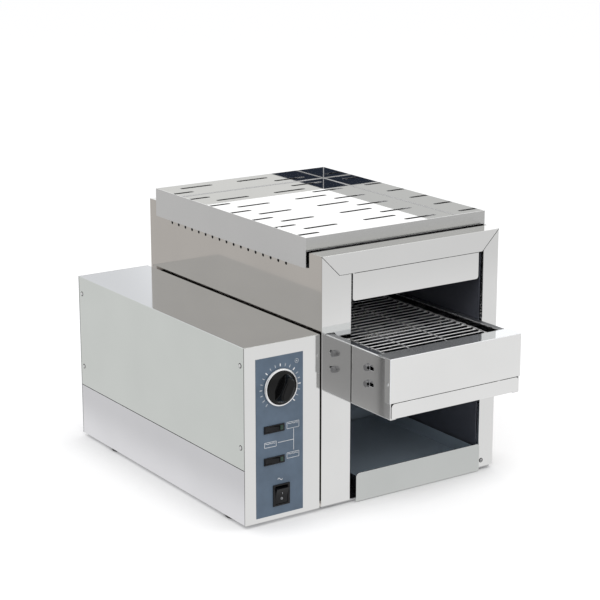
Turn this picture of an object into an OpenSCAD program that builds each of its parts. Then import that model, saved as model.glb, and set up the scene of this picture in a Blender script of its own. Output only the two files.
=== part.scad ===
// Conveyor toaster: a belt carries bread through a heated tunnel, toast slides back out below,
// and a warming tray sits on top. A control box stands at the left of the housing.
// Every module works from the housing's front left bottom corner: X right, Y to the back, Z up.
// at_origin() then moves it to the part's own origin, under the middle of the whole object.

/* [Housing] */
// Thickness of the sheet metal
sheet = 1.2; // [1:0.1:1.4]
// Height of the housing, without its feet
housing_h = 340; // [336:1:350]
// Width of the front stile at the left of the opening
left_stile_w = 47; // [45:1:55]
// Width of the front stile at the right of the opening
right_stile_w = 26; // [24:1:34]
// Height of the rail over the opening
rail_h = 28.3; // [27:0.1:30]
// Depth of the front frame's top and side flanges
frame_d = 28.7; // [26:0.1:32]
// Width of the seam between the rail and the stiles
seam = 0.4; // [0.3:0.1:0.6]
// Free depth behind the belt, where the toast drops
drop_depth = 79.5; // [76:0.5:90]
// Diameter of each vent hole along the side
vent_d = 5; // [3:0.5:6]
// Distance between vent holes
vent_pitch = 18.5; // [17:0.5:22]
// Height of the rubber feet under the housing
foot_h = 5; // [4:0.5:8]

/* [Warming tray] */
// Overhang of the tray past each side of the housing
tray_overhang = 2.2; // [2:0.1:3]
// Height of the tray's rim over its floor
tray_rim_h = 17.4; // [15:0.1:25]
// Height of the tray's floor over the housing's top edge
tray_rise = 1.4; // [1.3:0.1:3]
// Length of each slot in the tray's floor
slot_len = 55.5; // [40:0.5:60]
// Width of each slot in the tray's floor
slot_w = 7; // [3:0.1:8]
// Distance between rows of slots
slot_row_pitch = 28.2; // [27:0.1:30]

/* [Belt] */
// Width of the belt
belt_w = 178; // [170:1:190]
// Distance between the belt's front and rear axes
belt_centres = 400; // [392:1:412]
// Radius of the belt's path around each axis
belt_r = 15.5; // [15:0.1:16]
// Wanted distance between rods, made to fit the loop
rod_pitch = 12; // [11:0.1:14]
// Diameter of each belt rod
rod_d = 2; // [1.8:0.1:2.4]
// Height of the belt's axes over the housing's floor
axis_z = 194.5; // [180:0.5:200]
// Free height for bread between the belt and the baffle
bread_h = 62; // [56:1:66]

/* [Carriage] */
// Gap between the belt and each side plate
belt_side_gap = 17.4; // [15:0.1:20]
// Thickness of the side plates
plate = 1.5; // [1.2:0.1:2]
// How far the carriage stands out of the housing's front
carriage_reach = 86.4; // [80:0.1:95]
// Height of the carriage's front, from its bottom edge to the landing
carriage_h = 82; // [81:0.1:84]
// Distance from the cover's face back to the belt's front axis
idler_setback = 49.4; // [44:0.1:54]
// Width of the side plates' turned-in flanges
flange_w = 10; // [8:0.5:12]
// Depth of the landing on top of the front cover
landing_d = 28.4; // [24:0.1:30]
// Height of the crumb tray's front
crumb_front_h = 20.7; // [18:0.1:24]
// Play between the carriage's left plate and the opening
play_left = 0.6; // [0.5:0.1:1]
// Play between the carriage's right plate and the opening
play_right = 4.6; // [4.4:0.1:8]

/* [Toast tray] */
// Height of the toast tray's front over the housing's floor
toast_front_h = 36; // [30:0.5:45]
// Depth of the toast tray
toast_tray_d = 235; // [200:1:240]
// Gap between the toast tray's front and the left stile
toast_gap_left = 8; // [6:0.5:12]

/* [Control box] */
// Width of the control box
box_w = 115.6; // [110:0.1:130]
// Height of the control box
box_h = 238.5; // [232:0.5:246]
// Gap between the control box and the housing
box_gap = 4.4; // [4:0.1:6]
// Height of the seam between the box's base and its cover
box_seam_z = 75; // [60:1:90]
// Width of the printed label
label_w = 72.2; // [68:0.1:80]
// Height of the printed label
label_h = 214.5; // [205:0.5:220]
// Diameter of the knob's bright ring
knob_ring_d = 51; // [48:0.5:54]
// Distance from the label's top edge down to the knob's axis
knob_drop = 42; // [36:1:44]
// Outward length of the cable gland
gland_out = 14; // [12:0.5:20]

/* [Heating] */
// Number of heating tubes over the belt
upper_count = 4; // [3:1:4]
// Number of heating tubes under the belt
lower_count = 3; // [2:1:3]
// Diameter of each heating tube
heater_d = 10; // [8:0.5:10]

/* [Hidden] */
$fn = 48;
eps = 0.01;
cut = 1;               // how far a cutting tool runs past the face that it cuts
fit = 0.05;            // radial clearance of a running fit
slip = 0.3;            // clearance between pieces that slide past each other

// Across the housing
carriage_w = belt_w + 2 * (belt_side_gap + plate);
opening_w = play_left + carriage_w + play_right;
housing_w = left_stile_w + opening_w + right_stile_w;
opening_x1 = left_stile_w + opening_w;
carriage_x0 = left_stile_w + play_left;
carriage_x1 = carriage_x0 + carriage_w;
belt_x0 = carriage_x0 + plate + belt_side_gap;
belt_x1 = belt_x0 + belt_w;
belt_mid = (belt_x0 + belt_x1) / 2;
wall_gap = play_right - sheet;             // between a side plate and the tunnel wall beside it
wall_left_x = carriage_x0 - wall_gap - sheet;
wall_right_x = carriage_x1 + wall_gap;

// Front to back
idler_y = idler_setback - carriage_reach;
drive_y = idler_y + belt_centres;
housing_d = drive_y + drop_depth;
return_d = 5;                              // depth of the stiles' turned-in edges
wall_front_gap = 1;
wall_back_gap = 18;                        // from the tunnel walls' rear ends to the housing's back
wall_y0 = return_d + wall_front_gap;
wall_y1 = housing_d - wall_back_gap;
carriage_y1 = drive_y + belt_r + 7;
back_flange_d = 18.5;
back_frame_y = housing_d - back_flange_d;

// Heights: the upper tubes and their reflector hang from the roof, the rest stands on the belt
rail_z = housing_h - rail_h;
side_drop = 20.5;                          // how far the sides are cut down under the tray
side_low = housing_h - side_drop;
roof_z = side_low - sheet;
roof_gap = 14.1;                           // air over the reflector's folds
trough_depth = 9;
reflector_z = roof_z - roof_gap - sheet - trough_depth;
heater_r = heater_d / 2;
tube_gap = 4;                              // from a tube to the reflector over it
upper_heater_z = reflector_z - tube_gap - heater_r;
run_top_z = axis_z + belt_r;
run_low_z = axis_z - belt_r;
belt_top = run_top_z + rod_d / 2;
baffle_z = belt_top + bread_h;
landing_rise = 6;                          // height of the landing over the belt
carriage_top = belt_top + landing_rise;
carriage_z = carriage_top - carriage_h;
carriage_side_top = carriage_top - sheet;
wall_top = roof_z - 2;

// Base pan and feet
pan_inset = 3;
pan_rim_h = 3;
foot_r = 11;
foot_inset = 20;
box_foot_in = 14;
box_foot_front = 49;
box_foot_back = 83;

// Warming tray
tray_x0 = -tray_overhang;
tray_x1 = housing_w + tray_overhang;
tray_gap_front = 4.6;
tray_gap_back = 3.3;
tray_y0 = frame_d + tray_gap_front;
tray_y1 = back_frame_y - tray_gap_back;
tray_floor = housing_h + tray_rise;
tray_top = tray_floor + tray_rim_h;
skirt_z = side_low - 1.5;
tray_mid_x = (tray_x0 + tray_x1) / 2;
tray_mid_y = (tray_y0 + tray_y1) / 2;
slot_column_pitch = 50;
slot_edge = 23;                            // from the tray's ends to the outermost rows of slots
slot_side_rows = floor((tray_mid_y - tray_y0 - slot_edge) / slot_row_pitch);
bearer_w = 12;
bearer_inset = 18;
bearer_end_gap = 12;

// Vent row
vent_z = skirt_z - vent_d / 2 - eps;
vent_y0 = 82.5;
vent_end_gap = 30;                         // least distance from the last hole to the rear flange
vent_count = floor((back_frame_y - vent_end_gap - vent_y0) / vent_pitch) + 1;

// Belt
belt_loop = 2 * belt_centres + 2 * PI * belt_r;
rod_count = round(belt_loop / rod_pitch);
rod_step = belt_loop / rod_count;
strand_t = 1.2;
strand_w = 2;
strand_edge = 2;                           // from the rods' ends to the outer strands
strand_in = [43, 106];                     // from the left outer strand to the inner ones
strand_x = concat([belt_x0 + strand_edge], [for (d = strand_in) belt_x0 + strand_edge + d],
    [belt_x1 - strand_edge]);
wheel_play = 0.4;                          // gap between the wheels and the rods
wheel_r = belt_r - rod_d / 2 - wheel_play;
wheel_w = 8;
wheel_edge = 20;
wheel_x = [belt_x0 + wheel_edge, belt_mid, belt_x1 - wheel_edge];
axle_r = 4;
shaft_r = 5;
shaft_end = 1.5;                           // how far the drive shaft passes the right side plate
idler_tube_t = 2;
idler_tube_gap = 6;
bush_r = 8;
bush_flange_r = 11;
bush_flange_t = 2;
bush_len = 8;

// Ties between the side plates, and the rails that they carry
tie_r = 4;
low_tie_drop = 22;                         // the front tie sits this far under the idler axle
rail_bar_h = 8;
rail_bar_t = 1.5;
rail_bar_top = run_top_z - rod_d / 2 - 0.2;
tie_z = rail_bar_top - rail_bar_h - tie_r;
tie_count = lower_count + 1;
tie_y0 = 30;
tie_end_gap = 33;                          // from the drive axis to the last tie
tie_y1 = drive_y - tie_end_gap;
tie_step = (tie_y1 - tie_y0) / (tie_count - 1);
rail_bar_out = [-62, 60];                  // from the belt's middle line
rail_bar_x = [for (d = rail_bar_out) belt_mid + d];
rail_bar_end_gap = 3;

// Heating tubes
heater_play = 0.5;
cap_r = 7;
cap_len = 12;
cap_bottom = 4;
lower_heater_drop = 4;                     // from the ties' axes down to the lower tubes' axes
lower_heater_z = tie_z - lower_heater_drop;
lower_heater_y = [for (i = [0:lower_count - 1]) tie_y0 + (i + 0.5) * tie_step];
upper_heater_y0 = 55;
upper_heater_end_gap = 68;                 // from the drive axis to the last upper tube
upper_heater_y1 = drive_y - upper_heater_end_gap;
upper_heater_y = [for (i = [0:upper_count - 1])
    upper_heater_y0 + i * (upper_heater_y1 - upper_heater_y0) / (upper_count - 1)];
trough_half = 22;
trough_top_half = 9;
reflector_end = 30;                        // how far the upper reflector passes its outer tubes
lower_reflector_gap = 4;
lower_reflector_z = run_low_z + rod_d / 2 + lower_reflector_gap;

// Fasteners on the carriage
bolt_r = 2.5;
bolt_depth = 10;
washer_r = 5;
washer_t = 1;
hex_r = 4.6;
hex_h = 3.8;
tension_slot = 10;                         // how far the front bolts can be moved to tighten the belt
button_r = 4;
button_h = 2.2;
rivet_r = 2.2;
rivet_h = 1;
rivet_setback = 4;
rivet_drop = 34.4;
cover_return = 11.4;
guide_run = 8;
guide_fall = 3.5;

// Crumb tray
crumb_x0 = carriage_x0 + plate + slip;
crumb_x1 = carriage_x1 - plate - slip;
crumb_floor_z = carriage_z + plate;
crumb_top = carriage_z + 1 + crumb_front_h;
crumb_side_h = 16;
crumb_y1 = drive_y - 23;
crumb_corner_r = 5;
cover_gap = 0.8;

// Toast tray, its runners and the ramp that feeds it
toast_x0 = left_stile_w + toast_gap_left;
toast_x1 = opening_x1 - 1;
toast_floor_z = 11.5;
toast_front_low = -4;
toast_front_t = 1.2;
toast_front_y = -3;
toast_wall_in = 2;
toast_corner_r = 5;
runner_w = 15;
runner_in = 8;                             // from the toast tray's ends to its runners
runner_y0 = 6;
runner_h = toast_floor_z - 0.2;
ramp_x0 = wall_left_x + sheet + 0.8;
ramp_x1 = wall_right_x - 0.8;
ramp_gap = 6;                              // between the toast tray's rear edge and the ramp
ramp_foot_y = toast_tray_d + ramp_gap;
ramp_foot_z = 27;
ramp_back_gap = 10;
ramp_head_y = housing_d - ramp_back_gap;
ramp_rise = 30;                            // height of the ramp's head over the carriage's underside
ramp_head_z = carriage_z + ramp_rise;
deflector_r = 48;
deflector_z = run_top_z + 2;
deflector_y = ramp_head_y - deflector_r - sheet;

// Control box
box_x1 = -box_gap;
box_x0 = box_x1 - box_w;
box_z0 = 0.2;
box_z1 = box_z0 + box_h;
box_front_y = -2.3;
box_back_y = housing_d + 2.7;
box_flange_d = 16;
box_screw_r = 3;
box_screw_h = 1.4;
box_screw_in = 9.8;
box_screw_rise = 29.5;                     // from the seam up to the lower screws
box_screw_drop = 24.7;                     // from the box's top down to the upper screws
box_screw_z = [box_seam_z + box_screw_rise, box_z1 - box_screw_drop];
box_screw_y = [box_front_y + box_screw_in, box_back_y - box_screw_in];
floor_screw_r = 2.2;
floor_screw_h = 1.8;
floor_screw_in = 6;                        // from the box's sides to its floor screws
floor_screw_front = 14.8;
floor_screw_back = 26.7;
floor_screw_x = [box_x0 + floor_screw_in, box_x1 - floor_screw_in];
floor_screw_y = [box_front_y + floor_screw_front, box_back_y - floor_screw_back];
spacer_inset = 6;
box_inner_y0 = box_front_y + sheet;
box_inner_y1 = box_back_y - sheet;
shaft_hole_r = 9;
wire_hole_r = 9;
wire_hole_front = 110;                     // from the drive axis forward to the wire hole
wire_hole_y = drive_y - wire_hole_front;
wire_hole_z = 150;

// Label and what stands on it
label_t = 0.5;
label_x0 = box_x0 + 16.8;
label_x1 = label_x0 + label_w;
label_z0 = box_z0 + 6.3;
label_y = box_front_y - label_t;
dial_x = label_x0 + label_w / 2 + 1.1;
knob_z = label_z0 + label_h - knob_drop;
knob_disc_r = knob_ring_d / 2 - 3;
knob_gap = 0.6;
knob_skirt_h = 6;
knob_grip_h = 14;
knob_grip_w = 15;
knob_tilt = 25;
ring_h = 3.2;
pot_r = 12;
pot_len = 13;
pot_floor = 2;                             // wall behind the potentiometer's bore
pot_bush_r = 4.5;
pot_shaft_r = 3;

// Rocker switches: frames, rockers and lenses
switch_left = 9.9;                         // from the dial's axis to the heater switches' middle
switch_x = dial_x - switch_left;
switch_w = 31.5;
switch_h = 10.3;
switch_drop = [54.1, 97.1];                // from the dial's axis down to each heater switch
switch_z = [for (d = switch_drop) knob_z - d];
switch_proud = 1.5;
switch_body_w = 28.6;
switch_body_h = 8.4;
switch_depth = 18;
rocker_pivot_y = 1;
rocker_front = 7;
rocker_dip = 1.6;
rocker_back = 4;
rocker_tilt = 10;
rocker_half = 9.8;
rocker_pocket_half = 11.3;
rocker_shift = -3.5;
rocker_half_h = 3.1;
rocker_pocket_half_h = 3.3;
rocker_pin_r = 1.2;
rocker_pin_out = 0.7;
pocket_floor = 6.6;
lens_w = 4.4;
lens_h = 6;
lens_shift = 11.2;
lens_depth = 4;
lens_proud = 0.4;
main_x = dial_x + 0.9;
main_rise = 26.5;                          // from the label's lower edge to the main switch's middle
main_z = label_z0 + main_rise;
main_w = 26;
main_h = 29.5;
main_body_w = 22;
main_body_h = 26.8;
main_half = 10.8;
main_pocket_half = 12.3;
main_half_w = 9.2;
main_pocket_half_w = 9.5;
cutout_play = 0.2;

// Gear motor, its bracket and the coupling
bracket_x = box_x1 - sheet - 15;
bracket_t = 2;
bracket_half_y = 33;
bracket_half_z = 32;
standoff_r = 4;
gearbox_half = 28;
gearbox_len = 30;
gear_drop = 18;                            // the output pin sits this far over the gearbox's middle
gear_z = axis_z - gear_drop;
motor_r = 18;
motor_len = 42;
coupling_r = 9;
coupling_x0 = bracket_x + 1;
coupling_x1 = box_x1 - sheet - 0.9;
output_r = 4;
output_end_x = (coupling_x0 + coupling_x1) / 2;
output_start_x = bracket_x - bracket_t - 10;

// Electrical pieces in the control box
board_w = 60;
board_d = 100;
board_t = 1.6;
board_z = box_z0 + sheet + 8;
board_y0 = 60;
board_x0 = (box_x0 + box_x1 - board_w) / 2;
board_post_r = 3;
terminal_w = 16;
terminal_d = 74;
terminal_h = 18;
terminal_y0 = 290;
terminal_x0 = box_x0 + 40;
fan_size = 80;
fan_d = 25;
fan_z = 150;
fan_x = (box_x0 + box_x1) / 2;
fan_bore_r = 37;
fan_hub_r = 15;
fan_blade_r = 35.5;
fan_blades = 7;
fan_rotor_d = 14;
fan_core_d = 6;                            // depth of the fan's fixed core in front of the panel
fan_cap = 3;                               // closed front of the rotor's hub
fan_play = 1;                              // gap between the rotor and the fixed core or spindle
rotor_y0 = box_inner_y1 - fan_core_d - fan_play - fan_rotor_d;
fan_spindle_r = 2;
gland_x = fan_x;
gland_z = 45;
gland_hole_r = 8;
gland_bore_r = 4.5;
gland_nut_r = 11;

// The whole object's extents, and from them the part's origin
min_x = box_x0 - box_screw_h;
max_x = tray_x1;
min_y = -carriage_reach;
max_y = box_back_y + gland_out;
mid_x = (min_x + max_x) / 2;
mid_y = (min_y + max_y) / 2;

// ---- helpers ----

// Moves a piece from the housing's corner to the part's origin, with the feet on the ground.
module at_origin() {
    translate([-mid_x, -mid_y, foot_h]) children();
}

// A box between two opposite corners.
module block(low, high) {
    translate(low) cube(high - low);
}

// Extrudes a profile drawn in Y and Z along X.
module along_x(x0, x1) {
    translate([x0, 0, 0]) rotate([90, 0, 90]) linear_extrude(x1 - x0) children();
}

// Extrudes a profile drawn in X and Z along Y.
module along_y(y0, y1) {
    translate([0, y1, 0]) rotate([90, 0, 0]) linear_extrude(y1 - y0) children();
}

// A round bar or hole along X, centred at (y, z).
module bar_x(x0, x1, y, z, r) {
    translate([x0, y, z]) rotate([0, 90, 0]) cylinder(h = x1 - x0, r = r);
}

// A round bar or hole along Y, centred at (x, z).
module bar_y(y0, y1, x, z, r) {
    translate([x, y1, z]) rotate([90, 0, 0]) cylinder(h = y1 - y0, r = r);
}

// A rectangle with its two upper corners rounded.
module round_top(x0, x1, z0, z1, r) {
    translate([x0, z0]) square([x1 - x0, z1 - z0 - r]);
    translate([x0 + r, z0]) square([x1 - x0 - 2 * r, z1 - z0]);
    for (x = [x0 + r, x1 - r]) translate([x, z1 - r]) circle(r);
}

// A rectangle with its two lower corners rounded.
module round_bottom(x0, x1, z0, z1, r) {
    translate([x0, z0 + r]) square([x1 - x0, z1 - z0 - r]);
    translate([x0 + r, z0]) square([x1 - x0 - 2 * r, z1 - z0]);
    for (x = [x0 + r, x1 - r]) translate([x, z0 + r]) circle(r);
}

// The outline of a race track around both belt axes, at a distance r from them.
module track(r) {
    translate([idler_y, axis_z - r]) square([belt_centres, 2 * r]);
    for (y = [idler_y, drive_y]) translate([y, axis_z]) circle(r);
}

// The point on the belt's loop that lies s along it, as [Y, Z].
function belt_point(s) =
    let (half_turn = PI * belt_r, bend = 180 / half_turn)
    s < belt_centres ? [idler_y + s, run_top_z]
    : s < belt_centres + half_turn
        ? let (a = (s - belt_centres) * bend) [drive_y + belt_r * sin(a), axis_z + belt_r * cos(a)]
    : s < 2 * belt_centres + half_turn ? [drive_y - (s - belt_centres - half_turn), run_low_z]
    : let (a = (s - 2 * belt_centres - half_turn) * bend)
        [idler_y - belt_r * sin(a), axis_z - belt_r * cos(a)];

// ---- housing ----

// Flat floor with a rim turned down around it.
module base_pan() color("silver") at_origin() {
    low = [pan_inset, pan_inset];
    high = [housing_w - pan_inset, housing_d - pan_inset];
    block([low.x, low.y, -sheet], [high.x, high.y, 0]);
    difference() {
        block([low.x, low.y, -pan_rim_h], [high.x, high.y, -sheet + eps]);
        block([low.x + sheet, low.y + sheet, -pan_rim_h - cut], [high.x - sheet, high.y - sheet, cut]);
    }
}

// Outline of a stile of width w, mitred at its top to meet the rail.
function stile_outline(w) =
    let (top = housing_h - seam * sqrt(2))
    w > rail_h
        ? [[0, 0], [w, 0], [w, rail_z - seam], [top - rail_z + seam, rail_z - seam], [0, top]]
        : [[0, 0], [w, 0], [w, top - w], [0, top]];

// One side of the housing with the front stile folded from it, drawn for the left side.
module housing_side(stile_w) {
    stile_top = min(rail_z - seam, housing_h - stile_w - 2 * seam);
    difference() {
        block([0, 0, 0], [sheet, housing_d, housing_h]);
        block([-cut, frame_d, side_low], [sheet + cut, back_frame_y, housing_h + cut]);
        for (i = [0:vent_count - 1]) bar_x(-cut, sheet + cut, vent_y0 + i * vent_pitch, vent_z, vent_d / 2);
        block([-cut, -cut, housing_h - sheet - 2 * seam], [sheet + cut, sheet, housing_h + cut]);
    }
    along_y(0, sheet) polygon(stile_outline(stile_w));
    block([stile_w - sheet, 0, 0], [stile_w, return_d, stile_top]);
}

module housing_left() color("lightgray") at_origin() {
    difference() {
        housing_side(left_stile_w);
        bar_x(-cut, sheet + cut, drive_y, axis_z, shaft_hole_r);
        bar_x(-cut, sheet + cut, wire_hole_y, wire_hole_z, wire_hole_r);
    }
}

module housing_right() color("lightgray") at_origin() {
    translate([housing_w, 0, 0]) mirror([1, 0, 0]) housing_side(right_stile_w);
}

// Rear panel with a flange turned forward at its top and two rows of louvre slots.
module housing_back() color("silver") at_origin() {
    louvre_w = 6;
    louvre_h = 45;
    louvre_pitch = 22;
    side_gap = 70;                         // from the panel's sides to the outer slots
    low_rise = 60;                         // from the floor up to the lower slots
    top_drop = 100;                        // from the top down to the upper slots
    difference() {
        block([sheet, housing_d - sheet, 0], [housing_w - sheet, housing_d, housing_h]);
        for (x = [side_gap:louvre_pitch:housing_w - side_gap], z = [low_rise, housing_h - top_drop])
            block([x, housing_d - sheet - cut, z], [x + louvre_w, housing_d + cut, z + louvre_h]);
    }
    block([sheet, back_frame_y, housing_h - sheet], [housing_w - sheet, housing_d - sheet + eps, housing_h]);
}

// Rail over the opening: mitred face, top flange and a short lip turned down at the back.
module front_rail() color("gainsboro") at_origin() {
    along_y(0, sheet)
        polygon([[0, housing_h], [housing_w, housing_h], [housing_w - rail_h, rail_z], [rail_h, rail_z]]);
    block([sheet, 0, housing_h - sheet], [housing_w - sheet, frame_d, housing_h]);
    block([sheet, frame_d - sheet, roof_z], [housing_w - sheet, frame_d, housing_h]);
}

// Plate that hangs behind the rail and closes the tunnel's mouth down to the bread's height.
module front_baffle() color("gainsboro") at_origin() {
    baffle_y = 4;
    side_gap = 5;
    corner_r = 4;
    flange_back = 12;                      // how far the top flange passes the frame's flange
    x0 = left_stile_w + side_gap;
    x1 = opening_x1 - side_gap;
    along_y(baffle_y, baffle_y + sheet) round_bottom(x0, x1, baffle_z, roof_z, corner_r);
    block([x0, baffle_y, roof_z - sheet], [x1, frame_d + flange_back, roof_z]);
}

// Panel under the warming tray, with wide slots that let the warm air up.
module roof_panel() color("silver") at_origin() {
    air_slot_w = 18;
    air_slot_pitch = 40;
    end_gap = 50;                          // from the roof's ends to the outer slots
    side_gap = 60;                         // from the roof's sides to the slots' ends
    difference() {
        block([sheet, frame_d, roof_z], [housing_w - sheet, back_frame_y, side_low]);
        for (y = [frame_d + end_gap:air_slot_pitch:back_frame_y - end_gap])
            block([side_gap, y, roof_z - cut], [housing_w - side_gap, y + air_slot_w, side_low + cut]);
    }
}

// Two box channels on the roof that carry the warming tray.
module tray_bearers() color("gray") at_origin() {
    for (x = [bearer_inset, housing_w - bearer_inset - bearer_w]) difference() {
        block([x, tray_y0 + bearer_end_gap, side_low],
            [x + bearer_w, tray_y1 - bearer_end_gap, tray_floor - sheet]);
        block([x + sheet, tray_y0 + bearer_end_gap - cut, side_low + sheet],
            [x + bearer_w - sheet, tray_y1 - bearer_end_gap + cut, tray_floor - 2 * sheet]);
    }
}

// A slot with round ends, centred at (x, y), for the tray's floor.
module tray_slot(x, y) {
    straight = slot_len - slot_w;
    translate([x - straight / 2, y - slot_w / 2]) square([straight, slot_w]);
    for (end = [-1, 1]) translate([x + end * straight / 2, y]) circle(slot_w / 2);
}

// Tray with a rim all round, skirts at both sides, and staggered slots in its floor.
module warming_tray() color("gainsboro") at_origin() {
    translate([0, 0, tray_floor - sheet]) linear_extrude(sheet) difference() {
        translate([tray_x0, tray_y0]) square([tray_x1 - tray_x0, tray_y1 - tray_y0]);
        for (row = [-slot_side_rows:slot_side_rows]) let (shift = abs(row) % 2 == 0 ? 2 : 1)
            for (side = [-1, 1])
                tray_slot(tray_mid_x + side * shift * slot_column_pitch, tray_mid_y + row * slot_row_pitch);
    }
    for (x = [tray_x0, tray_x1 - sheet]) block([x, tray_y0, skirt_z], [x + sheet, tray_y1, tray_top]);
    for (y = [tray_y0, tray_y1 - sheet])
        block([tray_x0, y, tray_floor - sheet], [tray_x1, y + sheet, tray_top]);
}

// ---- tunnel and heating ----

// Inner wall of the tunnel, bored for the heating tubes and the drive shaft.
module tunnel_wall(x) {
    difference() {
        block([x, wall_y0, 0], [x + sheet, wall_y1, wall_top]);
        for (y = upper_heater_y) bar_x(x - cut, x + sheet + cut, y, upper_heater_z, heater_r + heater_play);
        for (y = lower_heater_y) bar_x(x - cut, x + sheet + cut, y, lower_heater_z, heater_r + heater_play);
        bar_x(x - cut, x + sheet + cut, drive_y, axis_z, shaft_hole_r);
    }
}

module tunnel_wall_left() color("dimgray") at_origin() tunnel_wall(wall_left_x);

module tunnel_wall_right() color("dimgray") at_origin() tunnel_wall(wall_right_x);

// Bottom edge of the reflector's profile around one heating tube, as [Y, Z] points.
function trough(y) = [[y - trough_half, reflector_z], [y - trough_top_half, reflector_z + trough_depth],
    [y + trough_top_half, reflector_z + trough_depth], [y + trough_half, reflector_z]];

// Reflector over the upper tubes: a sheet folded into one trough over each tube.
module upper_reflector() color("lightgray") at_origin() {
    lower_edge = concat([[upper_heater_y0 - reflector_end, reflector_z]],
        [for (y = upper_heater_y) each trough(y)], [[upper_heater_y1 + reflector_end, reflector_z]]);
    upper_edge = [for (i = [len(lower_edge) - 1:-1:0]) lower_edge[i] + [0, sheet]];
    along_x(wall_left_x + sheet, wall_right_x) polygon(concat(lower_edge, upper_edge));
}

// Reflector between the lower tubes and the belt's return run, with low sides turned up.
module lower_reflector() color("lightgray") at_origin() {
    x0 = carriage_x0 + plate;
    x1 = carriage_x1 - plate;
    end_gap = 8;                           // from the outer ties to the reflector's ends
    side_h = 1;
    y0 = tie_y0 + end_gap;
    y1 = tie_y1 - end_gap;
    block([x0, y0, lower_reflector_z], [x1, y1, lower_reflector_z + sheet]);
    for (x = [x0, x1 - sheet])
        block([x, y0, lower_reflector_z], [x + sheet, y1, lower_reflector_z + sheet + side_h]);
}

// Quartz heating tubes across the tunnel at the given places.
module heaters(places, z) {
    x0 = wall_left_x - cap_len + cap_bottom;
    x1 = wall_right_x + sheet + cap_len - cap_bottom;
    for (y = places) bar_x(x0, x1, y, z, heater_r);
}

module upper_heaters() color("orangered") at_origin() heaters(upper_heater_y, upper_heater_z);

module lower_heaters() color("orangered") at_origin() heaters(lower_heater_y, lower_heater_z);

// Ceramic caps on the tubes' ends, outside the tunnel walls.
module heater_caps() color("ivory") at_origin() {
    places = concat([for (y = upper_heater_y) [y, upper_heater_z]],
        [for (y = lower_heater_y) [y, lower_heater_z]]);
    for (p = places) {
        difference() {
            bar_x(wall_left_x - cap_len, wall_left_x, p[0], p[1], cap_r);
            bar_x(wall_left_x - cap_len + cap_bottom, wall_left_x + cut, p[0], p[1], heater_r + fit);
        }
        difference() {
            bar_x(wall_right_x + sheet, wall_right_x + sheet + cap_len, p[0], p[1], cap_r);
            bar_x(wall_right_x + sheet - cut, wall_right_x + sheet + cap_len - cap_bottom, p[0], p[1],
                heater_r + fit);
        }
    }
}

// Curved plate behind the belt's rear end that turns the toast down.
module rear_deflector() color("silver") at_origin() {
    tab_w = 12;
    tab_z = deflector_z - 20;
    foot_z = ramp_head_z + 6;
    along_x(ramp_x0, ramp_x1) {
        intersection() {
            difference() {
                translate([deflector_y, deflector_z]) circle(deflector_r + sheet);
                translate([deflector_y, deflector_z]) circle(deflector_r);
            }
            translate([deflector_y, deflector_z]) square(2 * deflector_r);
        }
        translate([ramp_head_y - sheet, foot_z]) square([sheet, deflector_z - foot_z]);
    }
    for (x = [ramp_x0, ramp_x1 - tab_w])
        block([x, ramp_head_y - sheet, tab_z], [x + tab_w, housing_d - sheet, tab_z + sheet]);
}

// Sloping chute from behind the belt down to the toast tray.
module toast_ramp() color("silver") at_origin() {
    fall = ramp_head_z - ramp_foot_z;
    run = ramp_head_y - ramp_foot_y;
    thick = sheet * sqrt(1 + pow(fall / run, 2));
    along_x(ramp_x0, ramp_x1)
        polygon([[ramp_foot_y, ramp_foot_z], [ramp_head_y, ramp_head_z], [ramp_head_y, ramp_head_z - thick],
            [ramp_foot_y, ramp_foot_z - thick]]);
    foot_top = ramp_foot_z - thick + sheet * fall / run;
    tab_z = ramp_head_z - thick;
    block([ramp_x0, ramp_foot_y, 0], [ramp_x1, ramp_foot_y + sheet, foot_top]);
    block([ramp_x0, ramp_head_y - eps, tab_z], [ramp_x1, housing_d - sheet, tab_z + sheet]);
}

// Two flat channels that the toast tray slides on.
module tray_runners() color("gray") at_origin() {
    for (x = [toast_x0 + runner_in, toast_x1 - runner_in - runner_w]) difference() {
        block([x, runner_y0, 0], [x + runner_w, toast_tray_d, runner_h]);
        block([x + sheet, runner_y0 - cut, -cut],
            [x + runner_w - sheet, toast_tray_d + cut, runner_h - sheet]);
    }
}

// Tray that collects the toast: floor, two low sides and a front with rounded upper corners.
module toast_tray() color("gainsboro") at_origin() {
    x0 = toast_x0 + toast_wall_in;
    x1 = toast_x1 - toast_wall_in;
    y0 = toast_front_y + toast_front_t;
    along_y(toast_front_y, y0)
        round_top(toast_x0, toast_x1, toast_front_low, toast_front_h, toast_corner_r);
    block([x0, y0 - eps, toast_floor_z], [x1, toast_tray_d, toast_floor_z + sheet]);
    for (x = [x0, x1 - sheet])
        block([x, y0 - eps, toast_floor_z], [x + sheet, toast_tray_d, toast_front_h - toast_corner_r]);
}

// ---- conveyor carriage ----

// Channel-shaped side plate of the conveyor, drawn for the left side with its web at X = 0. The front
// bolts sit at the back ends of two slots, in which they are moved forward to tighten the belt.
module carriage_side() {
    high = carriage_side_top - carriage_z;
    difference() {
        translate([0, 0, carriage_z]) along_y(sheet - carriage_reach, carriage_y1)
            polygon([[0, 0], [flange_w, 0], [flange_w, plate], [plate, plate], [plate, high - plate],
                [flange_w, high - plate], [flange_w, high], [0, high]]);
        bar_x(-cut, plate + cut, drive_y, axis_z, bush_r);
        for (y = lower_heater_y) bar_x(-cut, plate + cut, y, lower_heater_z, heater_r + heater_play);
        for (z = [axis_z, axis_z - low_tie_drop]) let (r = bolt_r + fit) {
            for (y = [idler_y - tension_slot, idler_y]) bar_x(-cut, plate + cut, y, z, r);
            block([-cut, idler_y - tension_slot, z - r], [plate + cut, idler_y, z + r]);
        }
        for (i = [0:tie_count - 1])
            bar_x(-cut, plate + cut, tie_y0 + i * tie_step, tie_z, bolt_r + fit);
    }
}

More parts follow.
